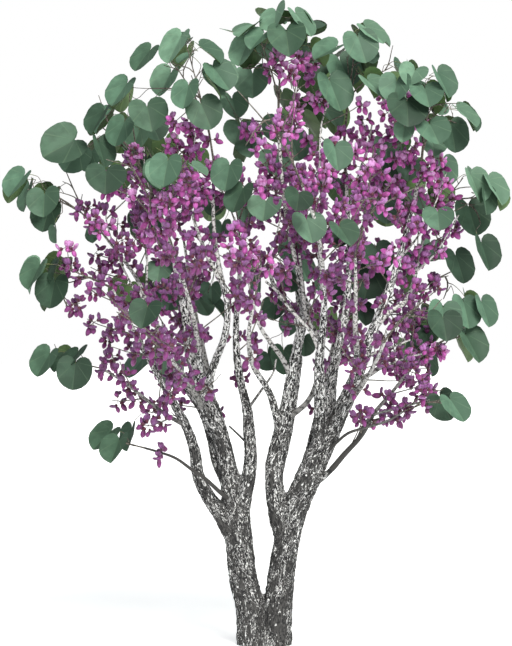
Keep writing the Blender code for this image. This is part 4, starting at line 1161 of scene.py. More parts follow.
@dataclass
class Space:
    """The spaces of all masses and the room that the limbs take, by the solids' own rule."""

    paths: dict[str, LimbPath]
    ball_spacing: float = 0.012

    def __post_init__(self) -> None:
        """Gathers the masses' balls and a chain of balls along every limb."""
        self.centres = np.array([mass.centre for mass in MASSES])
        self.reaches = np.array([mass.reach for mass in MASSES])
        balls = []
        for path in self.paths.values():
            count = int(path.length / self.ball_spacing)
            balls += [(*path.point(i / count), path.radius(i / count)) for i in range(count + 1)]
        self.balls = np.array(balls)

    def holds(self, points: list[Vector], index: int) -> bool:
        """Whether a mass's own space, clear of its neighbours' spaces, holds all of some points.

        Args:
            points: the points.
            index: the mass's number.

        Returns:
            True if it holds them.
        """
        places = np.asarray([tuple(p) for p in points], float)
        power = ((places[:, None, :] - self.centres[None]) ** 2).sum(-1) - self.reaches**2
        reach = self.reaches[index]
        if (power[:, index] > (reach + OVERHANG) ** 2 - reach**2).any():
            return False
        apart = np.linalg.norm(self.centres - self.centres[index], axis=1)
        apart[index] = 1.0
        depth = (power - power[:, index : index + 1]) / (2.0 * apart)
        depth[:, index] = 1.0
        return bool((depth > SPACE_MARGIN).all())

    def clear_of_limbs(self, points: list[Vector]) -> bool:
        """Whether all points keep clear of every limb, as a twig must.

        Args:
            points: the points.

        Returns:
            True if they do.
        """
        places = np.asarray([tuple(p) for p in points], float)
        apart = np.linalg.norm(places[:, None, :] - self.balls[None, :, :3], axis=2)
        return bool((apart - self.balls[:, 3] > TWIG_CLEARANCE).all())


def as_seen(point: Vector) -> Pair:
    """Where a point appears, across and up, in the upright plane through the trunk."""
    share = CAMERA.y / (CAMERA.y - point.y)
    return CAMERA.x + (point.x - CAMERA.x) * share, CAMERA.z + (point.z - CAMERA.z) * share


def seen_at(x: float, z: float, depth: float) -> Vector:
    """The point at a depth that appears at a place in the upright plane through the trunk."""
    share = (CAMERA.y - depth) / CAMERA.y
    return Vector((CAMERA.x + (x - CAMERA.x) * share, depth, CAMERA.z + (z - CAMERA.z) * share))


def outwardness(point: Vector) -> float:
    """How far out in the crown a point is: 0 in the middle and 1 on its outer surface."""
    away = point - CROWN_MIDDLE
    return Vector((away.x / CROWN_HALF.x, away.y / CROWN_HALF.y, away.z / CROWN_HALF.z)).length


def rim_share(x: float, z: float) -> float:
    """How far out towards the crown's rim a place is, as seen from the front: 1 on the rim."""
    return math.hypot((x - CROWN_MIDDLE.x) / CROWN_HALF.x, (z - CROWN_MIDDLE.z) / CROWN_HALF.z)


def in_oval(place: Pair, middle: Pair, half: Pair) -> bool:
    """Whether a place lies in an oval that has a middle and half sizes."""
    return math.hypot((place[0] - middle[0]) / half[0], (place[1] - middle[1]) / half[1]) < 1.0


def in_window(point: Vector) -> bool:
    """Whether a point stands before or behind a window of open sky."""
    return any(in_oval(as_seen(point), middle, half) for middle, half in WINDOWS)


def kept_share(point: Vector) -> float:
    """The share of sprays that the photograph shows at a place, as seen from the front."""
    seen = as_seen(point)
    return min((kept for middle, half, kept in THIN_PARTS if in_oval(seen, middle, half)), default=1.0)


def blossom_reach(height: float) -> Pair:
    """How far the blossom reaches to the left and to the right at a height."""
    heights, lefts, rights = zip(*BLOSSOM_EDGE)
    return float(np.interp(height, heights, lefts)), float(np.interp(height, heights, rights))


def in_blossom_zone(point: Vector) -> bool:
    """Whether blossom may hang at a point: inside its outline, which is round seen from above.

    Args:
        point: the point.

    Returns:
        True if it may.
    """
    if not BLOSSOM_EDGE[0][0] <= point.z <= BLOSSOM_EDGE[-1][0]:
        return False
    left, right = blossom_reach(point.z)
    half = (right - left) / 2.0
    middle = ((right + left) / 2.0, 0.0)
    return in_oval((point.x, point.y), middle, (half, max(half, LEAST_DEPTH))) and not in_window(point)


@dataclass
class Wood:
    """Every strand of wood, and the places on them that finer twigs, leaves and blossom may leave from."""

    # Distance between such places, and the thickest foot of a twig that grows out to a leaf.
    step: float = 0.03
    foot: float = 0.0032
    # How little a bend counts when a twig picks its place, and how straight it leaves that place.
    bent: float = 1.7
    ahead: float = 0.6
    foot_share: float = 0.75
    twig_points: int = 6
    strands: list[Strand] = field(default_factory=list)
    places: list[Vector] = field(default_factory=list)
    ways: list[Vector] = field(default_factory=list)
    radii: list[float] = field(default_factory=list)
    owners: list[int] = field(default_factory=list)

    def add(self, strand: Strand) -> int:
        """Adds a strand and its places for finer growth.

        Args:
            strand: the strand.

        Returns:
            Its number.
        """
        number = len(self.strands)
        self.strands.append(strand)
        count = max(1, round(length_of(strand.points) / self.step))
        for i in range(1, count + 1):
            place, way = along_points(strand.points, i / count)
            self.places.append(place)
            self.ways.append(way)
            self.radii.append(float(np.interp(i / count, taper(0.0, 1.0, len(strand.radii)), strand.radii)))
            self.owners.append(number)
        return number

    def grow_to(self, target: Vector, arriving: Vector, tip_radius: float) -> Strand:
        """Grows a twig to a target from the nearest place that leads towards it.

        Args:
            target: where the twig ends.
            arriving: its direction there.
            tip_radius: its radius there.

        Returns:
            The new strand.
        """
        places = np.asarray([tuple(p) for p in self.places])
        ways = np.asarray([tuple(w) for w in self.ways])
        steps = np.asarray(tuple(target)) - places
        apart = np.linalg.norm(steps, axis=1) + TINY
        bend = (steps * ways).sum(axis=1) / apart
        best = int(np.argmin(apart * (self.bent - bend)))
        start, way = self.places[best], self.ways[best]
        leaving = way * self.ahead + (target - start).normalized()
        points = curve_between(start, leaving, target, arriving, self.twig_points)
        foot = max(tip_radius, min(self.radii[best] * self.foot_share, self.foot))
        strand = Strand(points, taper(foot, tip_radius, self.twig_points), self.owners[best], bears=True)
        self.add(strand)
        return strand

    def twigs(self, limbs: list[int]) -> list[Strand]:
        """Gathers the twigs that bear something and those that lead to them.

        Args:
            limbs: the numbers of strands to leave out.

        Returns:
            The twigs.
        """
        for strand in reversed(self.strands):
            if strand.bears and strand.parent is not None:
                self.strands[strand.parent].bears = True
        return [strand for i, strand in enumerate(self.strands) if strand.bears and i not in limbs]


@dataclass
class Mound:
    """The growth of one mass: its leader and shoots by the solids' rule, carried on to finer twigs."""

    index: int
    space: Space
    paths: dict[str, LimbPath]
    wood: Wood
    seed: int = 7
    # The leader: how far past the mass's middle it ends, its bend, its foot's share of the limb, its tip.
    leader_reach: float = 0.25
    leader_bend: float = 0.2
    leader_foot: float = 0.95
    tip: float = 0.0018
    # Shoots leave the leader between these shares, head outwards, and are pulled in until they fit.
    shoots_from: Pair = (0.25, 0.90)
    outwards: float = 0.55
    twist: float = 1.7
    shrinks: tuple[float, ...] = (1.0, 0.85, 0.7, 0.55, 0.4)
    shortest: float = 0.05
    edge: float = 0.07
    shoot_ahead: float = 0.8
    shoot_knee: float = 0.3
    shoot_foot: float = 0.0040
    shoot_points: int = 6
    shoot_samples: int = 8
    # Side twigs: where they leave the shoot, how far apart, how long, how they head, and their taper.
    side_from: float = 0.25
    side_over: float = 0.65
    side_spacing: float = 0.045
    side_reach: float = 0.10
    side_lengths: Pair = (0.6, 1.2)
    side_ahead: float = 0.7
    side_up: float = 0.15
    side_turn: float = 0.5
    side_taper: tuple[float, float, int] = (0.0026, 0.0014, 5)
    ends: list[tuple[Vector, Vector]] = field(default_factory=list)

    def __post_init__(self) -> None:
        """Grows the leader from the limb's tip, then shoots to points spread evenly round the space."""
        self.mass = MASSES[self.index]
        self.centre = Vector(self.mass.centre)
        self.rng = random.Random(self.seed + self.index)
        path = self.paths[self.mass.limb]
        heading = path.tangent(1.0)
        start = path.tip + heading * GAP
        end = self.centre + (self.centre - start).normalized() * self.mass.reach * self.leader_reach
        knee = start + heading * STRAIGHT_END / 2.0
        bend = (heading - (end - knee).normalized()) * self.leader_bend * (end - knee).length
        elbow = knee.lerp(end, 0.5) + bend
        leader = [path.tip - heading * STRAIGHT_END / 2.0, knee, elbow, end]
        radii = taper(path.radius(1.0) * self.leader_foot, self.tip, len(leader))
        trunk = self.wood.add(Strand(leader, radii, bears=True))
        self.ends.append((end, (end - elbow).normalized()))
        for number in range(self.mass.shoots):
            points = self.shoot(leader[1:], number)
            if points:
                root, knee, end = points
                smooth = curve_between(root, knee - root, end, end - knee, self.shoot_points)
                radii = taper(self.shoot_foot, self.tip, self.shoot_points)
                parent = self.wood.add(Strand(smooth, radii, trunk))
                self.ends.append((end, (end - knee).normalized()))
                self.side_twigs(smooth, number, parent)

    def outward(self, number: int) -> Vector:
        """Spreads the shoots evenly, and more of them outwards.

        Args:
            number: the shoot's number.

        Returns:
            The direction from the mass's middle in which it grows.
        """
        height = 1.0 - 2.0 * (number + 0.5) / self.mass.shoots
        ring = math.sqrt(max(0.0, 1.0 - height * height))
        turn = GOLDEN_ANGLE * number + self.twist * self.index
        spread = Vector((ring * math.cos(turn), ring * math.sin(turn), height))
        return (spread + (self.centre - CROWN_MIDDLE).normalized() * self.outwards).normalized()

    def shoot(self, leader: list[Vector], number: int) -> list[Vector] | None:
        """One shoot from the leader to a point near the edge of the space, pulled in until it fits.

        Args:
            leader: the leader's points.
            number: the shoot's number.

        Returns:
            Its root, knee and end, or None if it never fits.
        """
        first, last = self.shoots_from
        root, along = along_points(leader, first + (last - first) * number / (self.mass.shoots - 1))
        for shrink in self.shrinks:
            end = self.centre + self.outward(number) * (self.mass.reach - self.edge) * shrink
            reach = (end - root).length
            heading = (along * self.shoot_ahead + (end - root).normalized()).normalized()
            points = [root, root + heading * self.shoot_knee * reach, end]
            count = self.shoot_samples
            samples = [along_points(points, s / count)[0] for s in range(2, count + 1)]
            inside = self.space.holds(samples, self.index)
            if reach > self.shortest and inside and self.space.clear_of_limbs(samples):
                return points
        return None

    def side_twigs(self, shoot: list[Vector], number: int, parent: int) -> None:
        """Finer twigs on alternate sides of a shoot, kept inside the mass's space.

        Args:
            shoot: the shoot's points.
            number: the shoot's number in the mass.
            parent: its number in the wood.
        """
        count = round(length_of(shoot) / self.side_spacing)
        for i in range(count):
            root, along = along_points(shoot, self.side_from + self.side_over * (i + 0.5) / count)
            way = across(along, GOLDEN_ANGLE * (i + 3 * number))
            way = way + along * self.side_ahead + UP * self.side_up
            end = root + way.normalized() * self.side_reach * self.rng.uniform(*self.side_lengths)
            if self.space.holds([end], self.index) and self.space.clear_of_limbs([end]):
                leaving = along + way * self.side_turn
                points = curve_between(root, leaving, end, way, self.side_taper[2])
                self.wood.add(Strand(points, taper(*self.side_taper), parent))
                self.ends.append((end, way.normalized()))


@dataclass
class Foliage:
    """Every leaf: those that the photograph shows, and others round the rest of the crown by rule."""

    space: Space
    mounds: list[Mound]
    wood: Wood
    seed: int = 41
    # Least distance between two leaves by rule, as a share of a leaf's width.
    room: float = 0.55
    # How much of a mass's reach still holds a seen leaf, and how others are spread in depth at the rim.
    inside: float = 0.9
    far_middle: float = 0.3
    rim_depth: float = 0.35
    rim_spread: Pair = (-0.5, 0.4)
    behind_boughs: Pair = (0.10, 0.15)
    # A leaf in front is moved before a limb that crosses it: how near, by how much at most, and the gap.
    limb_near: float = 0.045
    limb_step: float = 0.35
    limb_gap: float = 0.035
    # How much of a seen leaf's length shows at least and at most, its random turn, and how far it looks up.
    least_shown: float = 0.75
    most_shown: float = 0.98
    random_turn: float = 6.0
    seen_up: float = 0.3
    # All of the leaf's shapes, and the first of them, which are less folded than the last.
    shapes: int = 4
    open_shapes: int = 3
    # Leaves by rule hang at least this far out in the crown. Each twig's end has two sides and a few tries.
    outer: float = 0.80
    tries: int = 6
    # How a leaf by rule faces: less up or down than the crown does, turned, and tilted upwards.
    flatter: float = 0.5
    widest_turn: float = 1.0
    facing_up: Pair = (0.15, 0.75)
    sway: float = 0.35
    leaning_out: float = 0.3
    # Its stalk's direction along the twig, across it and outwards, and its length and size.
    stalk_way: Triple = (0.5, 0.8, 0.4)
    stalk_lengths: Pair = (0.8, 1.15)
    sizes: Pair = (0.86, 1.08)
    # How often each green is dealt, and how much more often per half of the crown's height: the paler greens
    # more often higher up, partly as painted light on the top of the crown.
    tint_shares: tuple[Pair, ...] = ((0.25, 0.25), (0.35, 0.0), (0.28, -0.1), (0.12, -0.1))
    # It hangs behind a seen leaf, or else seldom and only in the back of the crown.
    near_seen: float = 0.055
    back: float = 0.10
    behind_chance: float = 0.24
    # How much further out than the seen leaf before it a leaf by rule may hang, as a share of the crown.
    rim_room: float = 0.004
    hidden: float = 0.030
    hidden_chance: float = 1.0
    high_chance: float = 0.05
    low_chance: float = 0.02
    high: float = 1.75
    inner: float = 0.32
    # The stalk's way in from the notch: towards the mass, up, along the blade and along its facing.
    root_way: tuple[float, ...] = (0.7, 0.25, -0.35, -0.2)
    root_lengths: Pair = (0.8, 1.2)
    arriving: Pair = (0.7, 0.2)
    stalk_radii: tuple[float, ...] = (0.0013, 0.0012, 0.0011, 0.0011, 0.0013)
    leaves: list[LeafPlace] = field(default_factory=list)
    stalks: list[Strand] = field(default_factory=list)

    def __post_init__(self) -> None:
        """Places all leaves and their stalks."""
        self.rng = random.Random(self.seed)
        for spot in SPOTS:
            self.add_spot(spot)
        self.seen = list(self.leaves)
        self.shown = [(as_seen(leaf.on_blade(0.5)), leaf.notch.y) for leaf in self.seen]
        for mound in self.mounds:
            self.add_by_rule(mound)
        log.info("leaves: %d as seen and %d by rule", len(self.seen), len(self.leaves) - len(self.seen))

    def has_room(self, leaf: LeafPlace) -> bool:
        """Whether no other leaf is close by."""
        middle, room = leaf.on_blade(0.5), self.room * LEAF_WIDTH
        return all((other.on_blade(0.5) - middle).length > room for other in self.leaves)

    def depth_of(self, spot: Spot) -> tuple[float, int]:
        """How far back a seen leaf hangs, and its mass.

        Args:
            spot: the leaf as the photograph shows it.

        Returns:
            Its place along the view and the number of the mass that holds it.
        """
        x, z = spot.middle()
        best, place, front = None, 0.0, spot.layer is Layer.FRONT
        for index, mass in enumerate(MASSES):
            off = math.hypot(x - mass.centre[0], z - mass.centre[2])
            half = math.sqrt(max(0.0, mass.reach**2 - off * off))
            surface = mass.centre[1] - half * self.inside
            rank = (1, off - mass.reach + self.far_middle * abs(mass.centre[1]))
            if off < mass.reach * self.inside and front:
                rank = (0, surface)
            if best is None or rank < best[0]:
                best, place = (rank, index), surface
                if rank[0] == 1:
                    place = mass.centre[1] + self.rng.uniform(*self.rim_spread) * max(half, self.rim_depth)
        left, right = blossom_reach(z)
        if spot.layer is Layer.BEHIND and left < x < right:
            place = self.behind_boughs[0] + self.rng.uniform(0.0, self.behind_boughs[1])
        return place, best[1]

    def before_limbs(self, spot: Spot, depth: float) -> float:
        """Moves a seen leaf out before a limb that would cross it close by.

        Args:
            spot: the leaf as the photograph shows it.
            depth: its place along the view so far.

        Returns:
            Its new place along the view.
        """
        middle = seen_at(*spot.middle(), depth)
        balls = self.space.balls
        crossing = np.hypot(balls[:, 0] - middle.x, balls[:, 2] - middle.z) < self.limb_near + balls[:, 3]
        fronts = balls[:, 1] - balls[:, 3]
        before = fronts[crossing & (fronts < depth) & (fronts > depth - self.limb_step)]
        return float(before.min()) - self.limb_gap if len(before) else depth

    def add_spot(self, spot: Spot) -> None:
        """Hangs a leaf where the photograph shows it.

        Args:
            spot: the leaf as the photograph shows it.
        """
        depth, index = self.depth_of(spot)
        if spot.layer is Layer.FRONT:
            depth = self.before_limbs(spot, depth)
        notch = seen_at(*spot.notch, depth)
        seen = seen_at(*spot.tip, depth) - notch
        size = spot.size * (CAMERA.y - depth) / CAMERA.y
        shown = min(self.most_shown, max(self.least_shown, seen.length / (LEAF_WIDTH * size * BLADE)))
        along = seen.normalized() * shown + TOWARDS_CAMERA * math.sqrt(1.0 - shown * shown)
        turn = math.radians(spot.turn + self.rng.uniform(-self.random_turn, self.random_turn))
        facing = Vector((math.sin(turn), -math.cos(turn), self.seen_up))
        facing = (facing - along * facing.dot(along)).normalized()
        shape = self.rng.randrange(self.open_shapes)
        self.hang(LeafPlace(notch, along, facing, size, spot.tint, shape), index)

    def add_by_rule(self, mound: Mound) -> None:
        """Hangs leaves at the ends of a mass's twigs, where they are far out and don't hide the blossom.

        Args:
            mound: the mass's growth.
        """
        if mound.mass.name in IN_BLOSSOM:
            return
        for end, way in mound.ends:
            for side in range(2):
                for _ in range(self.tries):
                    leaf = self.leaf_at(end, way, side)
                    if self.may_hang(leaf, mound) and self.has_room(leaf):
                        self.hang(leaf, mound.index)
                        break

    def leaf_at(self, end: Vector, way: Vector, side: int) -> LeafPlace:
        """A leaf that hangs and faces outwards.

        Args:
            end: the end of its twig.
            way: the twig's direction there.
            side: 0 or 1, the side of the twig.

        Returns:
            The leaf in its place.
        """
        away = end - CROWN_MIDDLE
        away.z *= self.flatter
        away.normalize()
        facing = Vector((away.x, away.y, 0.0))
        facing.rotate(Quaternion(UP, self.rng.uniform(-self.widest_turn, self.widest_turn)))
        facing.z = self.rng.uniform(*self.facing_up)
        facing.normalize()
        onwards, sideways, outwards = self.stalk_way
        stalk = way * onwards + across(way, math.pi * side + self.rng.uniform(-1.0, 1.0)) * sideways
        stalk += away * outwards
        notch = end + stalk.normalized() * PETIOLE * self.rng.uniform(*self.stalk_lengths)
        swing = [self.rng.uniform(-self.sway, self.sway) for _ in range(2)]
        along = Vector((*swing, -1.0)) + away * self.leaning_out
        along = (along - facing * along.dot(facing)).normalized()
        size = self.rng.uniform(*self.sizes)
        height = (notch.z - CROWN_MIDDLE.z) / CROWN_HALF.z
        shares = [share + more * height for share, more in self.tint_shares]
        tint = self.rng.choices(list(Tint), shares)[0]
        return LeafPlace(notch, along, facing, size, tint, self.rng.randrange(self.shapes))

    def may_hang(self, leaf: LeafPlace, mound: Mound) -> bool:
        """Whether a leaf by rule fits its mass's space, far out in the crown and seldom in front.

        Args:
            leaf: the leaf in its place.
            mound: the growth that it hangs on.

        Returns:
            True if it may hang there.
        """
        middle = leaf.on_blade(0.5)
        blade = [leaf.notch, middle, leaf.on_blade(1.0)]
        if not self.space.holds(blade, mound.index) or in_window(middle):
            return False
        if outwardness(middle) < self.outer:
            return False
        if self.behind_seen(middle, self.hidden):
            return self.rng.random() < self.hidden_chance
        if middle.y < self.back:
            return False
        if self.behind_seen(middle, self.near_seen):
            return self.rng.random() < self.behind_chance
        left, right = blossom_reach(middle.z)
        among_blossom = BLOSSOM_EDGE[1][0] < middle.z < BLOSSOM_EDGE[-1][0] and left < middle.x < right
        high_up = middle.z > self.high or (abs(middle.x) < self.inner and middle.z > CROWN_MIDDLE.z)
        return among_blossom and self.rng.random() < (self.high_chance if high_up else self.low_chance)

    def behind_seen(self, middle: Vector, room: float) -> bool:
        """Whether a place lies close behind a seen leaf, and no further out, as seen from the front.

        Args:
            middle: the place.
            room: how close it must be.

        Returns:
            True if it does.
        """
        x, z = as_seen(middle)
        near = [
            (seen_x, seen_z)
            for (seen_x, seen_z), depth in self.shown
            if depth < middle.y and math.hypot(x - seen_x, z - seen_z) < room
        ]
        return any(rim_share(x, z) < rim_share(*seen) + self.rim_room for seen in near)

    def hang(self, leaf: LeafPlace, index: int) -> None:
        """Adds a leaf, its stalk, and where need be the twig that the stalk leaves from.

        Args:
            leaf: the leaf in its place.
            index: the number of its mass.
        """
        inwards = (Vector(MASSES[index].centre) - leaf.notch).normalized()
        parts = zip((inwards, UP, leaf.along, leaf.facing), self.root_way)
        way = sum((part * share for part, share in parts), Vector()).normalized()
        root = leaf.notch + way * PETIOLE * self.rng.uniform(*self.root_lengths)
        twig = self.wood.grow_to(root, -way, self.stalk_radii[0])
        arriving = leaf.along * self.arriving[0] + leaf.facing * self.arriving[1]
        leaving = twig.points[-1] - twig.points[-2]
        points = curve_between(root, leaving, leaf.notch, arriving, len(self.stalk_radii))
        self.stalks.append(Strand(points, list(self.stalk_radii)))
        self.leaves.append(leaf)


@dataclass
class Blossom:
    """Sprays of pea blossom along the older wood, in the zone where the photograph shows them."""

    wood: Wood
    foliage: Foliage
    space: Space
    seed: int = 97
    # Least distance between sprays, and from the middle of a leaf, and the thickest limb that bears one.
    spacing: float = 0.058
    leaf_room: float = 0.035
    thickest: float = 0.016
    # A spray seldom hangs right in front of a limb thicker than this, and lower than this.
    shown_limb: float = 0.012
    shown_below: float = 1.32
    hiding_kept: float = 0.35
    limb_room: Pair = (0.02, 0.03)
    # Nor does it hang before a leaf in front, and it hangs less often before one further back.
    leaf_radius: float = 0.075
    leaf_depth: float = 0.03
    before_behind: float = 0.60
    # A spray's tone is random, with painted light that makes it lighter to the right, towards the light, up
    # the crown and outwards, and painted shade that makes it darker inside the crown.
    painted_light_right: float = 0.18
    painted_light_up: float = 0.85
    painted_light_from: float = 1.45
    painted_light_out: float = 1.1
    painted_light_past: float = 0.82
    tones: Pair = (0.72, 0.34)
    # Flowers in a spray, how they hang, and how they vary in side, yaw, pitch, roll and size.
    flowers_each: tuple[int, int] = (3, 5)
    hanging: float = 0.25
    vary_side: float = 0.3
    vary_yaw: float = 0.4
    vary_pitch: float = 0.35
    steepest: float = 0.8
    sizes: Pair = (0.78, 1.04)
    on_bark: float = 0.7
    shapes: int = 2
    flowers: list[FlowerPlace] = field(default_factory=list)

    def __post_init__(self) -> None:
        """Deals sprays out along the wood, none too close to another."""
        self.rng = random.Random(self.seed)
        spots = list(zip(self.wood.places, self.wood.ways, self.wood.radii, self.wood.owners))
        self.rng.shuffle(spots)
        tree = search_tree([leaf.on_blade(0.5) for leaf in self.foliage.leaves])
        taken: list[Vector] = []
        sprays = 0
        for place, way, radius, owner in spots:
            if radius > self.thickest or not in_blossom_zone(place) or tree.find(place)[2] < self.leaf_room:
                continue
            if any((other - place).length < self.spacing for other in taken):
                continue
            taken.append(place)
            kept = kept_share(place)
            if place.z < self.shown_below and self.hides_limb(place):
                kept *= self.hiding_kept
            kept *= self.share_before_leaves(place)
            if self.rng.random() < kept:
                self.add_spray(place, way, radius)
                self.wood.strands[owner].bears = True
                sprays += 1
        log.info("blossom: %d flowers in %d sprays", len(self.flowers), sprays)

    def hides_limb(self, place: Vector) -> bool:
        """Whether a spray would hang right in front of one of the larger limbs.

        Args:
            place: where it would hang.

        Returns:
            True if it would.
        """
        balls = self.space.balls
        beside, above = self.limb_room
        near = np.abs(balls[:, 0] - place.x) < balls[:, 3] + beside
        level = np.abs(balls[:, 2] - place.z) < above
        return bool((near & level & (balls[:, 1] > place.y) & (balls[:, 3] > self.shown_limb)).any())

    def share_before_leaves(self, place: Vector) -> float:
        """The share of sprays kept: none before a leaf in front, and fewer before one further back.

        Args:
            place: where the spray would hang.

        Returns:
            The share.
        """
        x, z = as_seen(place)
        share = 1.0
        for spot, leaf, ((seen_x, seen_z), depth) in zip(SPOTS, self.foliage.seen, self.foliage.shown):
            near = math.hypot(x - seen_x, z - seen_z) < self.leaf_radius * leaf.size
            if near and place.y < depth + self.leaf_depth:
                share = min(share, self.before_behind if spot.layer is Layer.BEHIND else 0.0)
        return share

    def tone_at(self, place: Vector) -> Shade:
        """Deals a tone to a spray, partly at random and partly as painted light and shade by where it hangs.

        Args:
            place: where the spray hangs.

        Returns:
            The tone.
        """
        # Painted light and shade: lighter to the right, up the crown and outwards, darker inside.
        tone = self.rng.random() + self.painted_light_right * place.x
        tone += self.painted_light_up * (place.z - self.painted_light_from)
        tone += self.painted_light_out * (outwardness(place) - self.painted_light_past)
        light, bright = self.tones
        return Shade.LIGHT if tone > light else Shade.BRIGHT if tone > bright else Shade.DARK

    def vary(self, most: float) -> float:
        """A random amount up to a most, either way."""
        return self.rng.uniform(-most, most)

    def add_spray(self, place: Vector, way: Vector, radius: float) -> None:
        """A spray of a few flowers round one place.

        Args:
            place: the place on the twig's centre line.
            way: the twig's direction.
            radius: its radius.
        """
        count = self.rng.randint(*self.flowers_each)
        shade = self.tone_at(place)
        phase = self.rng.uniform(0.0, FULL_TURN)
        for i in range(count):
            side = across(way, phase + FULL_TURN * (i + self.vary(self.vary_side)) / count)
            out = (side - UP * self.hanging).normalized()
            yaw = math.atan2(out.y, out.x) + self.vary(self.vary_yaw)
            dip = max(-self.steepest, min(self.steepest, out.z))
            pitch = self.vary(self.vary_pitch) - math.asin(dip)
            roll = self.vary(self.vary_yaw)
            size = self.rng.uniform(*self.sizes)
            root, shape = place + side * radius * self.on_bark, self.rng.randrange(self.shapes)
            self.flowers.append(FlowerPlace(root, (roll, pitch, yaw), size, shade, shape))


@dataclass(frozen=True)
class LeafShape:
    """One form of leaf: a rounded heart in its own outline, folded up along its midrib."""

    fold: float
    droop: float
    curl: float
    thickness: float = 0.011
    # The droop's gain, where the curl sets in, and how much the fold flattens out towards the rim.
    droop_gain: float = 1.6
    curl_from: float = 0.3
    flatter: float = 0.3
    half_width: float = 0.5
    # How high the rim waves, and how fast from notch to tip and from the midrib outwards.
    waves: Triple = (0.012, 14.0, 3.0)
    # The row of points between midrib and rim on the upper face, as a share of the way.
    middle_row: float = 0.55
    # Half of the outline from the notch round one lobe to the tip, and the matching places on the midrib.
    outline: tuple[Pair, ...] = (
        (0.0, 0.0), (0.03, -0.11), (0.12, -0.195), (0.25, -0.22), (0.37, -0.175), (0.46, -0.06),
        (0.50, 0.09), (0.50, 0.25), (0.46, 0.41), (0.375, 0.545), (0.255, 0.645), (0.12, 0.70), (0.0, 0.72),
    )
    midrib: tuple[float, ...] = (
        0.0, 0.0, 0.005, 0.012, 0.025, 0.05, 0.11, 0.20, 0.32, 0.45, 0.58, 0.67, 0.72,
    )

    def place(self, side: float, along: float, lift: float) -> Vector:
        """A point of the blade with the fold, droop and curl worked in.

        Args:
            side: how far it is from the midrib, in widths.
            along: how far it is from the notch, in widths.
            lift: how far it is raised.

        Returns:
            The point.
        """
        u = abs(side)
        height, fast_along, fast_across = self.waves
        rise = u * math.sin(self.fold) - self.droop * u * u * self.droop_gain
        rise -= self.curl * max(0.0, along - self.curl_from) ** 2
        rise += height * math.sin(fast_along * along + fast_across * u) * u / self.half_width
        return Vector((side * math.cos(self.fold * (1.0 - self.flatter * u)), along, rise + lift))

    def build(self, name: str) -> Mesh:
        """The leaf as a thin closed lens, one unit wide, with its blade and underside marked.

        Args:
            name: the mesh's name.

        Returns:
            The mesh.
        """
        points, blade, faces, under = [], [], [], []

        def row(share: float, side: int, lift: float) -> list[int]:
            """Adds a row of points between midrib and rim.

            Args:
                share: how far it is on the way to the rim.
                side: 1 or -1.
                lift: how far it is raised.

            Returns:
                The points' numbers.
            """
            for (u, v), m in zip(self.outline, self.midrib):
                blade.append((side * u * share, m + (v - m) * share, 0.0))
                points.append(self.place(*blade[-1][:2], lift))
            return list(range(len(points) - len(self.outline), len(points)))

        for side in (1, -1):
            rim = row(1.0, side, 0.0)
            for layer, lift in enumerate((0.0, -self.thickness)):
                rows = [row(0.0, side, lift), rim]
                if layer == 0:
                    rows.insert(1, row(self.middle_row, side, lift))
                for inner, outer in zip(rows, rows[1:]):
                    for i in range(len(inner) - 1):
                        face = (inner[i], outer[i], outer[i + 1], inner[i + 1])
                        faces.append(face if (side == 1) == (layer == 0) else face[::-1])
                        under.append(bool(layer))
        mesh = sheet(name, points, faces)
        mark(mesh, "blade", "FLOAT_VECTOR", blade)
        mark(mesh, "under", "BOOLEAN", under, "FACE")
        with opened(mesh) as work:
            bmesh.ops.remove_doubles(work, verts=work.verts, dist=MERGED)
            bmesh.ops.dissolve_degenerate(work, edges=work.edges, dist=MERGED)
            below = work.faces.layers.bool["under"]
            for edge in work.edges:
                if len({face[below] for face in edge.link_faces}) > 1:
                    edge.smooth = False
        return mesh


@dataclass(frozen=True)
class RoundForm:
    """A closed round form about an axis, with its own profile."""

    # Where it starts, its axis, its length, its largest radius and its faces round.
    start: Vector
    way: Vector
    length: float
    radius: float
    sides: int
    # Its smaller width as a share of its larger one.
    flat: float
    # Rows of (share of the length, share of the radius).
    profile: tuple[Pair, ...]
    # How far its tip turns up, in radii.
    rise: float = 0.5

    def widths(self) -> tuple[Vector, Vector]:
        """Finds the directions across it, for upright and for level forms.

        Returns:
            Its wide and its narrow direction.
        """
        side, level = Vector((0.0, 1.0, 0.0)), 0.6
        if abs(self.way.dot(AHEAD)) < level:
            side = (side - self.way * side.dot(self.way)).normalized()
            return side, self.way.cross(side)
        return side.cross(self.way).normalized(), side

    def rings(self) -> tuple[list[Vector], list[float]]:
        """Sets its points in rings.

        Returns:
            The points, and each point's share of its length.
        """
        wide, narrow = self.widths()
        points, reach = [], []
        for share, size in self.profile:
            lift = UP * self.radius * self.rise * share * share
            for k in range(self.sides):
                angle = FULL_TURN * k / self.sides
                ring = wide * math.cos(angle) + narrow * math.sin(angle) * self.flat
                middle = self.start + self.way * self.length * share + lift
                points.append(middle + ring * self.radius * size)
                reach.append(share)
        return points, reach

    def faces(self, base: int) -> list[tuple[int, ...]]:
        """Its two ends and the faces between its rings.

        Args:
            base: the number of its first point.

        Returns:
            The faces.
        """
        sides, last = self.sides, base + (len(self.profile) - 1) * self.sides
        faces = [tuple(range(base, base + sides))[::-1], tuple(range(last, last + sides))]
        for ring in range(base, last, sides):
            for k in range(sides):
                a, b = ring + k, ring + (k + 1) % sides
                faces.append((a, b, b + sides, a + sides))
        return faces


def closed_form(name: str, parts: list[RoundForm]) -> Mesh:
    """One mesh from closed parts, with all faces outwards and each point's share of its part's length.

    Args:
        name: the mesh's name.
        parts: the parts.

    Returns:
        The mesh.
    """
    points, faces, reach = [], [], []
    for part in parts:
        part_points, part_reach = part.rings()
        faces += part.faces(len(points))
        points += part_points
        reach += part_reach
    mesh = sheet(name, points, faces)
    with opened(mesh) as work:
        bmesh.ops.recalc_face_normals(work, faces=work.faces)
    mark(mesh, "reach", "FLOAT", reach)
    return mesh


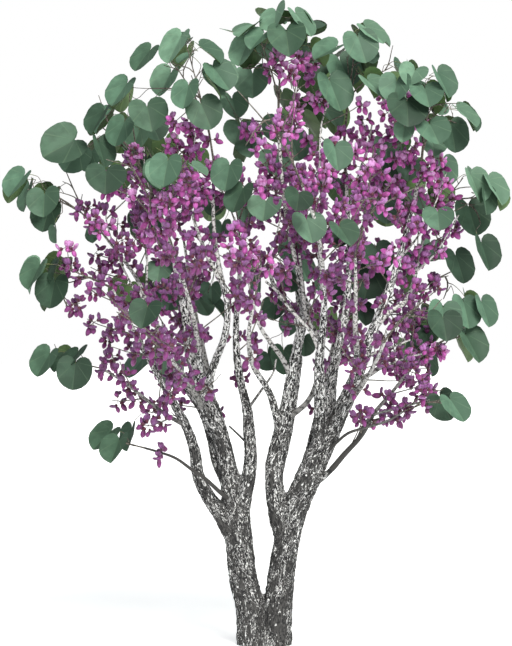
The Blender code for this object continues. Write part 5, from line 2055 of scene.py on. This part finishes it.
@dataclass(frozen=True)
class FlowerShape:
    """One form of pea flower, with its stalk's foot at the origin and its face along +X."""

    stalk: float = 0.012
    calyx: float = 0.0085
    calyx_dip: float = 0.1
    calyx_sides: int = 6
    keel_length: float = 0.040
    keel_radius: float = 0.0118
    keel_drop: float = math.radians(36.0)
    # Where the keel and the petals start past the stalk, out and up, in calyx radii.
    keel_root: Pair = (1.1, -0.4)
    petal_root: Pair = (1.4, -0.3)
    # Their faces round, and their smaller width as a share of their larger one.
    keel_round: tuple[int, float] = (8, 0.78)
    petal_round: tuple[int, float] = (7, 0.55)
    petal_length: float = 0.025
    petal_radius: float = 0.0108
    petal_lean: float = 0.30
    spread: float = math.radians(20.0)
    cup_profile: tuple[Pair, ...] = (
        (0.0, 0.13), (0.42, 0.13), (0.52, 0.75), (0.75, 1.0), (0.92, 0.85), (1.0, 0.35),
    )
    keel_profile: tuple[Pair, ...] = (
        (0.0, 0.35), (0.12, 0.76), (0.36, 1.0), (0.62, 0.94), (0.84, 0.64), (1.0, 0.16),
    )
    petal_profile: tuple[Pair, ...] = ((0.0, 0.34), (0.22, 0.74), (0.56, 1.0), (0.84, 0.84), (1.0, 0.40))

    def past_stalk(self, root: Pair) -> Vector:
        """A place past the end of the stalk, out and up in calyx radii."""
        return Vector((self.stalk + self.calyx * root[0], 0.0, self.calyx * root[1]))

    def calyx_and_stalk(self, name: str) -> Mesh:
        """The dark cup behind the petals, on its thin stalk.

        Args:
            name: the mesh's name.

        Returns:
            The mesh.
        """
        way = Vector((1.0, 0.0, -self.calyx_dip)).normalized()
        length = self.stalk + self.calyx * 2.0
        size = (length, self.calyx, self.calyx_sides, 1.0)
        return closed_form(name, [RoundForm(Vector(), way, *size, self.cup_profile)])

    def keel(self, name: str) -> Mesh:
        """The keel: a plump pod that points outwards and down, with its tip turned up.

        Args:
            name: the mesh's name.

        Returns:
            The mesh.
        """
        way = Vector((math.cos(self.keel_drop), 0.0, -math.sin(self.keel_drop)))
        size = (self.keel_length, self.keel_radius, *self.keel_round)
        return closed_form(name, [RoundForm(self.past_stalk(self.keel_root), way, *size, self.keel_profile)])

    def petals(self, name: str) -> Mesh:
        """Two round upper petals, side by side, that stand up from the calyx.

        Args:
            name: the mesh's name.

        Returns:
            The mesh.
        """
        foot = self.past_stalk(self.petal_root)
        size = (self.petal_length, self.petal_radius, *self.petal_round)
        parts = []
        for side in (1.0, -1.0):
            way = Vector((self.petal_lean, side * math.sin(self.spread), math.cos(self.spread)))
            parts.append(RoundForm(foot, way.normalized(), *size, self.petal_profile))
        return closed_form(name, parts)


class Scatter:
    """Sets one of a few shapes on each of many points, as one joined mesh."""

    def __init__(self, name: str, shapes: list[Mesh]) -> None:
        """Keeps the shapes in a collection of their own, in order of their names.

        Args:
            name: the kind of piece.
            shapes: the shapes' meshes.
        """
        self.name = name
        self.group = bpy.data.collections.new(name + "_shapes")
        bpy.context.scene.collection.children.link(self.group)
        for shape in shapes:
            self.group.objects.link(bpy.data.objects.new(shape.name, shape))

    def recipe(self) -> Recipe:
        """The tree that sets the shapes on the points, turned and sized by the points' own attributes.

        Returns:
            The tree.
        """
        inputs = {"Shapes": "Collection", "Size": "Float", "Under finish": "Material"}
        tree = Recipe(self.name + "_scatter", inputs)
        shapes = tree.inputs["Shapes"]
        group = tree.add(
            "GeometryNodeCollectionInfo", Collection=shapes, Separate_Children=True, Reset_Children=True
        )
        turn = tree.add("FunctionNodeEulerToRotation", Euler=tree.mark("turn", "FLOAT_VECTOR"))
        placed = tree.add(
            "GeometryNodeInstanceOnPoints",
            Points=tree.inputs["Geometry"],
            Instance=group.outputs["Instances"],
            Pick_Instance=True,
            Instance_Index=tree.mark("shape", "INT"),
            Rotation=turn.outputs["Rotation"],
            Scale=tree.times(tree.mark("size", "FLOAT"), tree.inputs["Size"]),
        )
        tree.close(placed.outputs["Instances"], tree.mark("under", "BOOLEAN"))
        return tree

    def make(self, name: str, rows: list[tuple], finish: Material, under: Material) -> Object:
        """Makes one piece.

        Args:
            name: the piece's name.
            rows: place, turn, size and shape number of each.
            finish: the finish of the shapes.
            under: the finish of faces marked as under.

        Returns:
            The piece as a plain mesh.
        """
        places, turns, sizes, shapes = zip(*rows)
        mesh = sheet(name + "_points", places, [])
        mark(mesh, "turn", "FLOAT_VECTOR", turns)
        mark(mesh, "size", "FLOAT", sizes)
        mark(mesh, "shape", "INT", shapes)
        values = {"Shapes": self.group, "Size": 1.0, "Finish": finish, "Under finish": under}
        return self.recipe().run(put_in_scene(mesh.name, mesh), name, values)

    def clear(self) -> None:
        """Removes the shapes and their collection."""
        for shape in list(self.group.objects):
            bpy.data.objects.remove(shape)
        bpy.data.collections.remove(self.group)


def tubes(name: str, strands: list[Strand], sides: int, finish: Material) -> Object:
    """Draws strands as tapering tubes, by a tree that sweeps a ring along each.

    Args:
        name: the piece's name.
        strands: the lines to sweep along.
        sides: faces round each tube.
        finish: their finish.

    Returns:
        The piece as a plain mesh.
    """
    curve = bpy.data.curves.new(name + "_lines", "CURVE")
    curve.dimensions = "3D"
    for strand in strands:
        spline = curve.splines.new("POLY")
        spline.points.add(len(strand.points) - 1)
        for point, place, radius in zip(spline.points, strand.points, strand.radii):
            point.co = (*place, 1.0)
            point.radius = radius
    tree = Recipe(name + "_tubes", {"Sides": "Int", "Thickness": "Float"})
    ring = tree.add("GeometryNodeCurvePrimitiveCircle", Resolution=tree.inputs["Sides"], Radius=1.0)
    girth = tree.add("GeometryNodeInputRadius").outputs["Radius"]
    tube = tree.add(
        "GeometryNodeCurveToMesh",
        Curve=tree.inputs["Geometry"],
        Profile_Curve=ring.outputs["Curve"],
        Scale=tree.times(girth, tree.inputs["Thickness"]),
        Fill_Caps=True,
    )
    tree.close(tube.outputs["Mesh"])
    holder = put_in_scene(curve.name, curve)
    return tree.run(holder, name, {"Sides": sides, "Thickness": 1.0, "Finish": finish})


@dataclass
class Limbwork:
    """The trunk, stems and boughs: a skin with the bark's relief, and slender ends as tubes."""

    paths: dict[str, LimbPath]
    wood: Wood
    thinnest_skin: float = 0.0115
    voxel: float = 0.0052
    sides: int = 20
    ring_spacing: float = 0.014
    # A limb has at least this many rings, and skin over no fewer than this many, and its slender end starts
    # this many rings inside the skin.
    least_rings: int = 8
    least_skin: int = 4
    lap: int = 2
    # How many steps of a limb the wood is told.
    coarse: int = 24
    # The swelling where a bough leaves its parent, how many foot radii it reaches, and the smoothing.
    collar: float = 0.22
    collar_reach: float = 3.0
    softness: float = 0.5
    soft_passes: int = 5
    # Limbs are drawn slimmer by this share from the second of these heights on, evenly from the first.
    slimmer: float = 0.30
    slim_from: float = 1.35
    slim_by: float = 1.85
    # The relief: its height, its pull along the limb, its noises' scales, and the girth that has all of it.
    relief: float = 0.0046
    streak: float = 0.40
    crack_scale: float = 55.0
    lump_scale: float = 14.0
    crack_width: float = 0.12
    crack_level: float = 0.6
    lump_height: float = 2.2
    full_girth: float = 0.05
    girth_power: float = 0.75
    # How many of the nearest rings are compared to find the limb that a point lies on.
    near_rings: int = 8
    skin: list[Strand] = field(default_factory=list)
    slender: list[Strand] = field(default_factory=list)
    numbers: list[int] = field(default_factory=list)

    def __post_init__(self) -> None:
        """Splits every limb where it gets slender, and lets the wood know its places."""
        for path in self.paths.values():
            count = max(self.least_rings, round(path.length / self.ring_spacing))
            shares = [i / count for i in range(count + 1)]
            points = [path.point(share) for share in shares]
            radii = [self.swollen(path, share) for share in shares]
            split = sum(1 for share in shares if path.radius(share) > self.thinnest_skin)
            has_skin = split >= self.least_skin
            if has_skin:
                self.skin.append(Strand(points[: split + 1], radii[: split + 1]))
            if split < len(points) - 1:
                first = max(0, split - self.lap) if has_skin else 0
                self.slender.append(Strand(points[first:], radii[first:]))
            shares = [i / self.coarse for i in range(self.coarse + 1)]
            points, radii = [path.point(share) for share in shares], [path.radius(share) for share in shares]
            self.numbers.append(self.wood.add(Strand(points, radii)))

    def swollen(self, path: LimbPath, share: float) -> float:
        """The radius with the collar where a bough leaves its parent, and slimmer high in the crown.

        Args:
            path: the limb's path.
            share: the share of the way along it.

        Returns:
            The radius that is drawn.
        """
        risen = (path.point(share).z - self.slim_from) / (self.slim_by - self.slim_from)
        radius = path.radius(share) * (1.0 - self.slimmer * min(1.0, max(0.0, risen)))
        if not path.limb.parent:
            return radius
        near = share * path.length / (self.collar_reach * path.radius(0.0))
        return radius * (1.0 + self.collar * math.exp(-near * near))

    def build(self, finish: Material) -> Object:
        """The skin: limbs fused, smoothed at their forks, given relief, and cut flat at the ground.

        Args:
            finish: the bark.

        Returns:
            The piece as a plain mesh.
        """
        holder = tubes("bark_core", self.skin, self.sides, finish)
        remesh = holder.modifiers.new("fuse", "REMESH")
        remesh.mode = "VOXEL"
        remesh.voxel_size = self.voxel
        soften = holder.modifiers.new("soften", "SMOOTH")
        soften.factor = self.softness
        soften.iterations = self.soft_passes
        core = settle(holder, "bark_core")
        self.mark_grain(core.data)
        skin = self.raise_relief(core, finish)
        with opened(skin.data) as work:
            self.cut_at_ground(work)
        return skin

    def mark_grain(self, mesh: Mesh) -> None:
        """Marks each point with its place round and along the nearest limb, and that limb's girth.

        Args:
            mesh: the fused skin.
        """
        rows = []
        for strand in self.skin:
            place = 0.0
            side = across((strand.points[1] - strand.points[0]).normalized(), 0.0)
            last = len(strand.points) - 1
            for i, point in enumerate(strand.points):
                way = (strand.points[min(last, i + 1)] - strand.points[max(0, i - 1)]).normalized()
                side = (side - way * side.dot(way)).normalized()
                rows.append((point, way, side.copy(), place, strand.radii[i]))
                if i < last:
                    place += (strand.points[i + 1] - point).length
        tree = search_tree([row[0] for row in rows])
        grain, girth = [], []
        for vertex in mesh.vertices:
            hits = tree.find_n(vertex.co, self.near_rings)
            near = min(hits, key=lambda hit: abs(hit[2] - rows[hit[1]][4]))
            point, way, side, place, radius = rows[near[1]]
            off = vertex.co - point
            grain.append((off.dot(side), off.dot(way.cross(side)), (place + off.dot(way)) * self.streak))
            girth.append(radius)
        mark(mesh, "grain", "FLOAT_VECTOR", grain)
        mark(mesh, "girth", "FLOAT", girth)

    def raise_relief(self, core: Object, finish: Material) -> Object:
        """Moves the skin out and in along its faces' directions, by two noises that follow the grain.

        Args:
            core: the fused skin.
            finish: the bark.

        Returns:
            The skin with its relief.
        """
        tree = Recipe("bark_relief", {"Relief": "Float", "Crack scale": "Float", "Lump scale": "Float"})
        grain = tree.mark("grain", "FLOAT_VECTOR")
        cracks = tree.noise(grain, tree.inputs["Crack scale"], 4.0, Roughness=0.6, Distortion=0.8)
        lumps = tree.noise(grain, tree.inputs["Lump scale"], 2.0)
        sharp = tree.maths("ABSOLUTE", tree.less(cracks, 0.5))
        crack = tree.less(tree.ramp(sharp, 0.0, self.crack_width), self.crack_level)
        lump = tree.times(tree.less(lumps, 0.5), self.lump_height)
        size = tree.maths("DIVIDE", tree.mark("girth", "FLOAT"), self.full_girth)
        size = tree.maths("MINIMUM", size, 1.0)
        height = tree.times(tree.plus(crack, lump), tree.inputs["Relief"])
        height = tree.times(height, tree.maths("POWER", size, self.girth_power))
        normal = tree.add("GeometryNodeInputNormal").outputs["Normal"]
        offset = tree.add("ShaderNodeVectorMath", {"operation": "SCALE"}, Vector=normal, Scale=height)
        start, shift = tree.inputs["Geometry"], offset.outputs["Vector"]
        tree.close(tree.then("GeometryNodeSetPosition", Geometry=start, Offset=shift))
        scales = {"Crack scale": self.crack_scale, "Lump scale": self.lump_scale}
        return tree.run(core, "bark", {"Relief": self.relief, "Finish": finish, **scales})

    def cut_at_ground(self, work: bmesh.types.BMesh) -> None:
        """Cuts the skin flat at the ground and closes the cut.

        Args:
            work: the skin, opened.
        """
        everything = [*work.verts, *work.edges, *work.faces]
        ground = {"plane_co": Vector(), "plane_no": -UP}
        cut = bmesh.ops.bisect_plane(work, geom=everything, clear_outer=True, **ground)
        rim = [part for part in cut["geom_cut"] if isinstance(part, bmesh.types.BMEdge)]
        bmesh.ops.contextual_create(work, geom=rim)
        bmesh.ops.recalc_face_normals(work, faces=work.faces)


@dataclass
class Spurs:
    """Short twigs that leave the boughs all along their upper lengths and carry blossom."""

    seed: int = 23
    spacing: float = 0.065
    reach: Pair = (0.06, 0.15)
    from_height: float = 0.74
    thickest: float = 0.02
    # How much longer spurs grow on limbs thinner than the radius below.
    tip_growth: float = 1.5
    tip_radius: float = 0.012
    # How they head along the limb and up, how they rise at their tips, and their radii.
    ahead: float = 0.6
    up: float = 0.2
    rising: float = 0.3
    radii: tuple[float, float, int] = (0.0030, 0.0015, 5)
    # A spur starts this share of the limb's radius off its centre line.
    sunk: float = 0.5

    def grow(self, paths: dict[str, LimbPath], wood: Wood) -> None:
        """Grows spurs on alternate sides of every limb.

        Args:
            paths: the limbs' paths.
            wood: the wood that they are added to.
        """
        rng = random.Random(self.seed)
        for path in paths.values():
            count = round(path.length / self.spacing)
            for i in range(1, count):
                root, radius = path.point(i / count), path.radius(i / count)
                if root.z < self.from_height or radius > self.thickest:
                    continue
                along = path.tangent(i / count)
                way = across(along, GOLDEN_ANGLE * i) + along * self.ahead + UP * self.up
                growth = self.tip_growth if radius < self.tip_radius else 1.0
                end = root + way.normalized() * rng.uniform(*self.reach) * growth
                if in_window(end):
                    continue
                start = root + way.normalized() * radius * self.sunk
                points = curve_between(start, way, end, way + UP * self.rising, self.radii[2])
                wood.add(Strand(points, taper(*self.radii)))


@dataclass
class Studio:
    """The pale floor, the soft light and the camera at the photograph's angle."""

    lens: float = 129.0
    floor_half: float = 60.0
    floor_glow: float = 0.55
    floor_tones: tuple[Triple, Triple] = ((0.88, 0.88, 0.88), (0.92, 0.92, 0.92))
    ambient: float = 0.43
    sky: Triple = (0.90, 0.97, 1.0)
    white: Triple = (1.0, 1.0, 1.0)
    key: float = 3.7
    warmth: Triple = (1.0, 0.985, 0.94)
    key_from: Triple = (0.32, -0.80, 0.80)
    softness: float = math.radians(28.0)

    def build(self) -> None:
        """Sets the floor, lights and camera."""
        bpy.context.scene.view_settings.view_transform = "Standard"
        self.floor()
        self.surround()
        self.sun()
        self.camera()

    def floor(self) -> None:
        """A wide plain floor at ground level."""
        pale = Surface("pale_floor")
        material = pale.dress(
            Base_Color=pale.blend(pale.noise(pale.place, 0.6, 2.0), *self.floor_tones),
            Roughness=0.9,
            Emission_Color=(*self.white, 1.0),
            Emission_Strength=self.floor_glow,
        )
        half = self.floor_half
        corners = [Vector((x * half, y * half, 0.0)) for x, y in ((-1, -1), (1, -1), (1, 1), (-1, 1))]
        obj = put_in_scene("floor", sheet("floor", corners, [(0, 1, 2, 3)]))
        obj.data.materials.append(material)

    def surround(self) -> None:
        """A white surround that gives a weak cool light from all sides."""
        world = bpy.data.worlds.new("white_studio")
        bpy.context.scene.world = world
        world.use_nodes = True
        graph = Graph(world.node_tree)
        seen = graph.add("ShaderNodeLightPath").outputs["Is Camera Ray"]
        strength = graph.ramp(seen, 0.0, 1.0, To_Min=self.ambient, To_Max=1.0)
        colour = graph.blend(seen, self.sky, self.white)
        graph.fill(world.node_tree.nodes["Background"], {"Strength": strength, "Color": colour})

    def sun(self) -> None:
        """A broad soft light from the upper right in front."""
        light = bpy.data.lights.new("key", "SUN")
        light.energy = self.key
        light.color = self.warmth
        light.angle = self.softness
        turn = (-Vector(self.key_from)).to_track_quat("-Z", "Y")
        put_in_scene("key", light).rotation_euler = turn.to_euler()

    def camera(self) -> None:
        """A level camera far in front, as the photograph was taken."""
        camera = bpy.data.cameras.new("camera")
        camera.lens = self.lens
        holder = put_in_scene("camera", camera)
        holder.location = CAMERA
        holder.rotation_euler = (math.radians(90.0), 0.0, 0.0)
        bpy.context.scene.camera = holder


def seat(piece: Object, nodes: Nodes) -> None:
    """Puts a piece on the plant's body and reports it.

    Args:
        piece: the finished piece.
        nodes: the solids that it stands in for.
    """
    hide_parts(*nodes)
    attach(piece, "root")
    triangles = sum(len(face.vertices) - 2 for face in piece.data.polygons)
    log.info("%s: %d triangles", piece.name, triangles)


@dataclass
class LeafPieces:
    """The leaves as four pieces, one for each green."""

    # Fold in degrees, droop and curl of each shape.
    forms: tuple[Triple, ...] = (
        (22.0, 0.14, 0.10), (32.0, 0.20, 0.16), (14.0, 0.10, 0.20), (44.0, 0.18, 0.08),
    )

    # The green and the veins of each tint's upper face, and then those of its underside; the darker tints
    # are partly painted shade.
    colours: tuple[tuple[Tint, tuple[Triple, ...]], ...] = (
        (Tint.PALE, ((0.174, 0.308, 0.206), (0.22, 0.33, 0.21), (0.14, 0.23, 0.098), (0.19, 0.27, 0.11))),
        (Tint.MID, ((0.105, 0.2, 0.131), (0.15, 0.24, 0.15), (0.1, 0.18, 0.062), (0.15, 0.22, 0.08))),
        (Tint.DEEP, ((0.071, 0.137, 0.086), (0.11, 0.18, 0.105), (0.062, 0.125, 0.046), (0.1, 0.16, 0.06))),
        (Tint.DUSKY, ((0.041, 0.082, 0.051), (0.075, 0.125, 0.075), (0.038, 0.076, 0.031),
            (0.065, 0.1, 0.04))),
    )

    def build(self, foliage: Foliage, nodes: Nodes) -> None:
        """Makes and seats each green's leaves.

        Args:
            foliage: all the leaves.
            nodes: the solids that they stand in for.
        """
        shapes = [
            LeafShape(math.radians(fold), droop, curl).build(f"leaf_shape_{i}")
            for i, (fold, droop, curl) in enumerate(self.forms)
        ]
        scatter = Scatter("leaves", shapes)
        for tint, colours in self.colours:
            leaves = [leaf for leaf in foliage.leaves if leaf.tint is tint]
            rows = [(leaf.notch, leaf.turn(), leaf.size * LEAF_WIDTH, leaf.shape) for leaf in leaves]
            upper = LeafFinish(f"{tint.value}_leaf", *colours[:2]).material()
            under = LeafFinish(f"{tint.value}_underleaf", *colours[2:]).material()
            seat(scatter.make("leaves_" + tint.value, rows, upper, under), nodes)
        scatter.clear()


@dataclass
class BlossomPieces:
    """The blossom as petals, keels and calyxes, each kind apart, in three tones."""

    # The second form is half open.
    forms: tuple[FlowerShape, ...] = (
        FlowerShape(),
        FlowerShape(0.016, keel_length=0.034, keel_drop=math.radians(56.0), spread=math.radians(26.0)),
    )

    # The colour and the streaks of each kind, from the lightest tone to the darkest; the spread between the
    # tones is partly painted light and shade, and the streak colour also paints the shade at each part's
    # foot.
    keels: tuple[tuple[Triple, Triple], ...] = (
        ((0.52, 0.100, 0.42), (0.23, 0.022, 0.14)),
        ((0.36, 0.046, 0.28), (0.14, 0.010, 0.08)),
        ((0.21, 0.025, 0.175), (0.07, 0.007, 0.04)),
    )
    petals: tuple[tuple[Triple, Triple], ...] = (
        ((0.57, 0.27, 0.56), (0.29, 0.06, 0.21)),
        ((0.36, 0.125, 0.37), (0.16, 0.024, 0.12)),
        ((0.19, 0.056, 0.20), (0.07, 0.011, 0.055)),
    )

    def build(self, blossom: Blossom, nodes: Nodes) -> None:
        """Makes and seats every kind and tone.

        Args:
            blossom: all the flowers.
            nodes: the solids that they stand in for.
        """
        kinds = (("keels", self.keels, FlowerShape.keel), ("petals", self.petals, FlowerShape.petals))
        for kind, tones, maker in kinds:
            scatter = self.scatter(kind, maker)
            for shade, colours in zip(Shade, tones):
                name = f"{kind}_{shade.value}"
                finish = PetalFinish(name, *colours).material()
                seat(scatter.make(name, self.rows(blossom, shade), finish, finish), nodes)
            scatter.clear()
        scatter = self.scatter("calyxes", FlowerShape.calyx_and_stalk)
        finish = PetalFinish("maroon_calyx", (0.11, 0.012, 0.035), (0.05, 0.008, 0.02)).material()
        rows = [row for shade in Shade for row in self.rows(blossom, shade)]
        seat(scatter.make("calyxes", rows, finish, finish), nodes)
        scatter.clear()

    def scatter(self, kind: str, maker: Callable[[FlowerShape, str], Mesh]) -> Scatter:
        """The forms of one kind, ready to be set on points."""
        return Scatter(kind, [maker(form, f"{kind}_shape_{i}") for i, form in enumerate(self.forms)])

    def rows(self, blossom: Blossom, shade: Shade) -> list[tuple]:
        """The places of one tone's flowers."""
        return [(f.root, f.turn, f.size, f.shape) for f in blossom.flowers if f.shade is shade]


def main() -> None:
    """Builds the whole plant and its studio."""
    logging.basicConfig(level=logging.INFO, format="%(message)s")
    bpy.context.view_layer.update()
    mass_nodes = tuple(mass.name for mass in MASSES)
    limb_nodes = ("trunk",) + tuple(limb.name for limb in LIMBS)
    paths: dict[str, LimbPath] = {}
    wood = Wood()
    add_paths(LIMBS, paths)
    space = Space(paths)
    add_paths(STRANDS, paths)
    limbwork = Limbwork(paths, wood)
    mounds = [Mound(index, space, paths, wood) for index in range(len(MASSES))]
    Spurs().grow(paths, wood)
    foliage = Foliage(space, mounds, wood)
    blossom = Blossom(wood, foliage, space)

    mottling = {"marks": (0.42, 0.52), "heights": (0.80, 1.25)}
    bough = TwigFinish("pale_bough", (0.045, 0.043, 0.041), (0.66, 0.65, 0.63), 110.0, **mottling)
    twig = TwigFinish("brown_twig", (0.055, 0.045, 0.038), (0.20, 0.18, 0.15), 150.0)
    stalk = TwigFinish("leaf_stalk", (0.10, 0.12, 0.05), (0.20, 0.22, 0.10), 200.0)
    seat(limbwork.build(BarkFinish().material()), limb_nodes)
    seat(tubes("slender_boughs", limbwork.slender, 8, bough.material()), limb_nodes)
    seat(tubes("twigs", wood.twigs(limbwork.numbers), 5, twig.material()), mass_nodes)
    seat(tubes("leaf_stalks", foliage.stalks, 4, stalk.material()), mass_nodes)
    LeafPieces().build(foliage, mass_nodes)
    BlossomPieces().build(blossom, mass_nodes)

    Studio().build()


if __name__ == "__main__":
    main()
